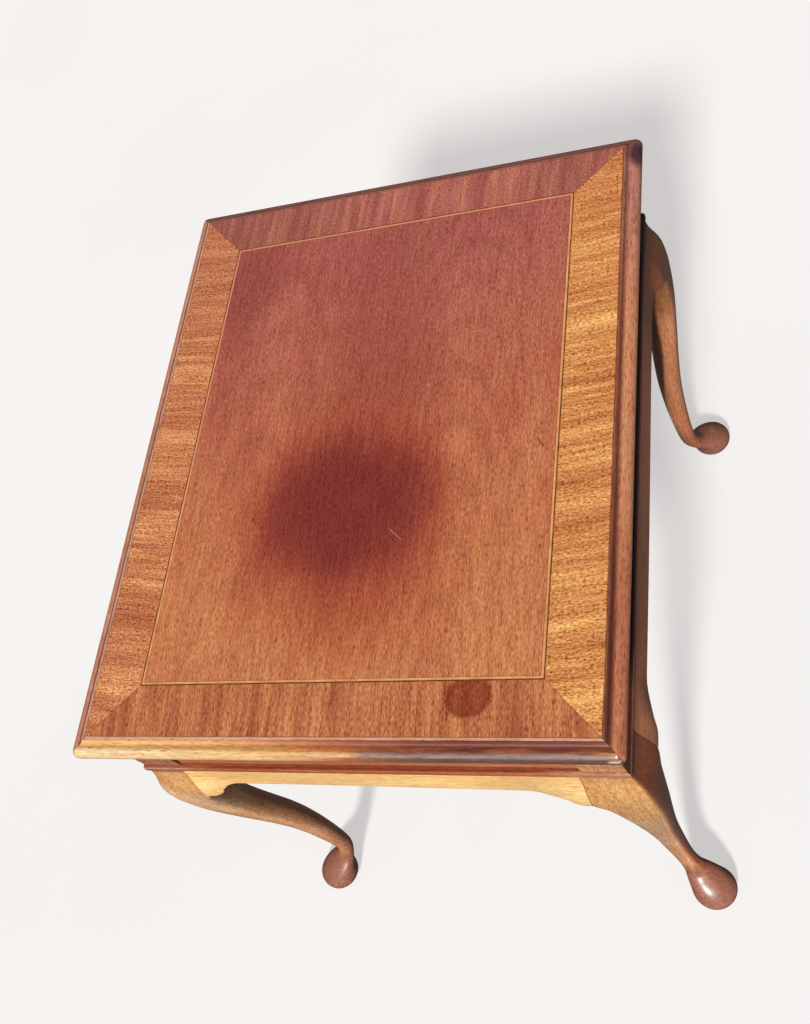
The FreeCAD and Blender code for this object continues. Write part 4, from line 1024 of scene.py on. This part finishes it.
M = {
    "field": field_material(),
    "string_dark": line_material("stringing_dark", ((92, 50, 30), (118, 68, 42), (150, 90, 56)), 3),
    "string_light": line_material("stringing_light", ((204, 138, 86), (226, 162, 104), (238, 180, 126)), 9,
                                  (214, 142, 116)),
    "apron_fb": plain_wood("apron_front_rear", "x", ((234, 184, 119), (246, 199, 132), (250, 208, 145)),
                           5.0, AP, fn=apron_extra, amount=(0.5, 0.4, 0.3, 0.2)),
    # the side aprons take a redder, darker copy of the apron wood: painted shade
    "apron_lr": plain_wood("apron_sides_shade_tone", "y", ((206, 134, 98), (222, 148, 108), (232, 160, 120)),
                           8.0, AP, fn=apron_extra, amount=(0.5, 0.4, 0.3, 0.2)),
    "leg": plain_wood("leg_mahogany", "z", ((196, 142, 88), (210, 156, 99), (222, 172, 116)), 13.0,
                      AP, rough=0.34, coat=0.6, coat_rough=0.13, fn=leg_extra, coat_bump=False,
                      amount=(0.9, 0.6, 0.4, 0.35), grit=(150, 500)),
    "base_fr": plain_wood("base_moulding_front_rear", "x",
                          ((138, 68, 40), (158, 86, 54), (176, 104, 68)), 17.0, 1.0,
                          fn=base_extra),
    "base_lr": plain_wood("base_moulding_sides", "y",
                          ((128, 62, 40), (146, 80, 54), (164, 96, 66)), 19.0, 1.0,
                          fn=base_extra),
    "frieze_x": plain_wood("frieze_back_rails", "x", ((104, 50, 36), (126, 66, 46), (146, 82, 56)), 25.0),
    "frieze_left": plain_wood("frieze_left", "y", ((124, 64, 44), (146, 82, 57), (166, 100, 70)), 27.0),
    # the right frieze panel is darker and matt: painted shade under the overhang
    "frieze_right_shaded": plain_wood("frieze_right_shaded", "y", ((110, 56, 40), (130, 70, 50), (148, 86, 62)), 28.0,
                               fn=frieze_painted_shade, rough=0.5, coat=0.0, spec=0.1, ks=(0.6, 0.9, 1.2)),
    "drawer_front": plain_wood("drawer_front", "x", ((140, 80, 52), (160, 96, 65), (178, 112, 78)),
                               29.0, AP, fn=drawer_extra),
    "second_x": plain_wood("inner_wood_x", "x", ((150, 112, 72), (176, 138, 94), (196, 160, 114)), 31.0,
                           rough=0.6, coat=0.0, bump=0.6, dist=0.0002),
    "second_y": plain_wood("inner_wood_y", "y", ((146, 108, 70), (172, 134, 92), (192, 156, 112)), 33.0,
                           rough=0.6, coat=0.0, bump=0.6, dist=0.0002),
    "second_z": plain_wood("inner_wood_z", "z", ((146, 108, 70), (172, 134, 92), (192, 156, 112)), 35.0,
                           rough=0.6, coat=0.0, bump=0.6, dist=0.0002),
    "core": plain_wood("core_wood", "y", ((112, 74, 48), (134, 92, 62), (152, 110, 76)), 39.0,
                       rough=0.6, coat=0.0, bump=0.6, dist=0.0002),
    "steel": steel_material(),
}
for side in ("front", "rear", "left", "right"):
    M["band_" + side] = band_material(side)
    M["edge_" + side] = edge_material(side)

# ------------------------------------------------------------------- the pieces
SIDES = ("front", "rear", "left", "right")
APRONS = {      # joint insets, how the swelling ends, and the lean, at either end
    "front": (INSET_FL, INSET_FR, SLIM, FULL, (0.0, 1.4)),
    "rear": (INSET, INSET, SLIM, SLIM, (0.0, 0.0)),
    "right": (INSET, INSET, FULL, SLIM, (2.2, 0.9)),
    "left": (INSET, INSET, SLIM, SLIM, (0.0, 0.0)),
}
for i, side in enumerate(SIDES):
    place(strip("edge_strip_" + side, side, edge_section(), None, EDGE_R, 8.0, 0.10, 3.0 + i),
          "edge_moulding_" + side, M["edge_" + side])
    place(strip("base_strip_" + side, side, base_section(), POST_E, 1.2, 0.5, 0.0, 9.0 + i),
          "base_moulding_" + side,
          M["base_fr" if side in ("front", "rear") else "base_lr"])
    place(apron_mesh("apron_shaped_" + side, side, *APRONS[side]), "apron_" + side,
          M["apron_fb" if side in ("front", "rear") else "apron_lr"])
for name, sx, sy, inner, inset in (
        ("front_right", 1, -1, inner_fr, INSET_FR), ("front_left", -1, -1, inner_fl, INSET_FL),
        ("rear_right", 1, 1, inner_plain, INSET), ("rear_left", -1, 1, inner_plain, INSET)):
    place(leg_mesh("leg_carved_" + name, sx, sy, inner, inset), "leg_" + name,
          M["leg"])

KEPT = {
    "top_core_panel": "core", "field_veneer": "field",
    "stringing_ebonised": "string_dark", "stringing_boxwood": "string_light",
    "frieze_panel_left": "frieze_left", "frieze_panel_right": "frieze_right_shaded",
    "frieze_panel_back": "frieze_x", "top_rail": "frieze_x", "drawer_rail": "frieze_x",
    "drawer_runner_left": "second_y", "drawer_runner_right": "second_y",
    "drawer_guide_left": "second_y", "drawer_guide_right": "second_y",
    "drawer_kicker_left": "second_y", "drawer_kicker_right": "second_y",
    "drawer_stops": "second_x", "glue_blocks": "second_z", "top_fixing_screws": "steel",
    "drawer_front": "drawer_front", "drawer_side_left": "second_y",
    "drawer_side_right": "second_y", "drawer_back": "second_x", "drawer_bottom": "second_x",
    "drawer_bottom_screws": "steel",
}
for side in SIDES:
    KEPT["crossband_" + side] = "band_" + side
for node, key in KEPT.items():
    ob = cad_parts[node]
    ob.data.materials.clear()
    ob.data.materials.append(M[key])

# ------------------------------------------------------------ floor and backdrop
bpy.ops.mesh.primitive_plane_add(size=14, location=(0, 0, 0))
floor = bpy.context.object
floor.name = "floor"
floor.data.materials.append(glow_material("floor_pale", (240, 239, 238), 0.42, 0.62))
floor.visible_diffuse = False
floor.visible_glossy = False

bpy.ops.mesh.primitive_uv_sphere_add(segments=64, ring_count=32, radius=6.9, location=(0, 0, 0))
sky = bpy.context.object
sky.name = "backdrop"
sky.data.materials.append(glow_material("backdrop_pale", (238, 237, 235), 0.0, 0.92))
for p in sky.data.polygons:
    p.use_smooth = True
sky.visible_diffuse = False
sky.visible_glossy = False
sky.visible_shadow = False

# ------------------------------------------------------------------------ light
world = bpy.data.worlds.new("studio")
bpy.context.scene.world = world
world.use_nodes = True
wt = world.node_tree
bg = wt.nodes["Background"]
co = wt.nodes.new("ShaderNodeTexCoord")
sp = wt.nodes.new("ShaderNodeSeparateXYZ")
wt.links.new(co.outputs["Generated"], sp.inputs[0])
mr = wt.nodes.new("ShaderNodeMapRange")
mr.interpolation_type = "SMOOTHSTEP"
wt.links.new(sp.outputs["Z"], mr.inputs["Value"])
mr.inputs["From Min"].default_value, mr.inputs["From Max"].default_value = -0.25, 0.7
mr.inputs["To Min"].default_value, mr.inputs["To Max"].default_value = 0.09, 0.21
bg.inputs[0].default_value = (1.0, 0.82, 0.80, 1)
wt.links.new(mr.outputs[0], bg.inputs[1])

# one broad soft key, far enough away for its light to be parallel
el, az = math.radians(39), math.radians(4)
key_dir = Vector((math.cos(el) * math.sin(az), -math.cos(el) * math.cos(az), math.sin(el)))
key = bpy.data.lights.new("key", "SUN")
key.energy = 4.2
key.angle = math.radians(8)
key.color = (1.0, 0.995, 0.965)
key_ob = bpy.data.objects.new("key", key)
bpy.context.scene.collection.objects.link(key_ob)
key_ob.location = key_dir * 4.0
key_ob.rotation_euler = key_dir.to_track_quat("Z", "Y").to_euler()

# ----------------------------------------------------------------------- camera
cam_data = bpy.data.cameras.new("camera")
cam = bpy.data.objects.new("camera", cam_data)
bpy.context.scene.collection.objects.link(cam)
R = ((0.92820439, 0.10977126, -0.35550933),
     (-0.07224695, -0.88412848, -0.46162453),
     (-0.36498903, 0.45416638, -0.8127213))
rot = Matrix(R).transposed() @ Matrix(((1, 0, 0), (0, -1, 0), (0, 0, -1)))
cam.matrix_world = Matrix.Translation((0.45577628, -0.57710961, H * MM + 0.87973738)) @ rot.to_4x4()
cam_data.sensor_fit = "AUTO"
cam_data.sensor_width = 36.0
cam_data.lens = 36.0 * 1147.866 / 1024.0
cam_data.shift_x = (405.0 - 413.456) / 1024.0
cam_data.shift_y = (500.138 - 512.0) / 1024.0
cam_data.clip_start = 0.02
bpy.context.scene.camera = cam

bpy.context.scene.view_settings.view_transform = "Standard"
bpy.context.scene.view_settings.look = "None"
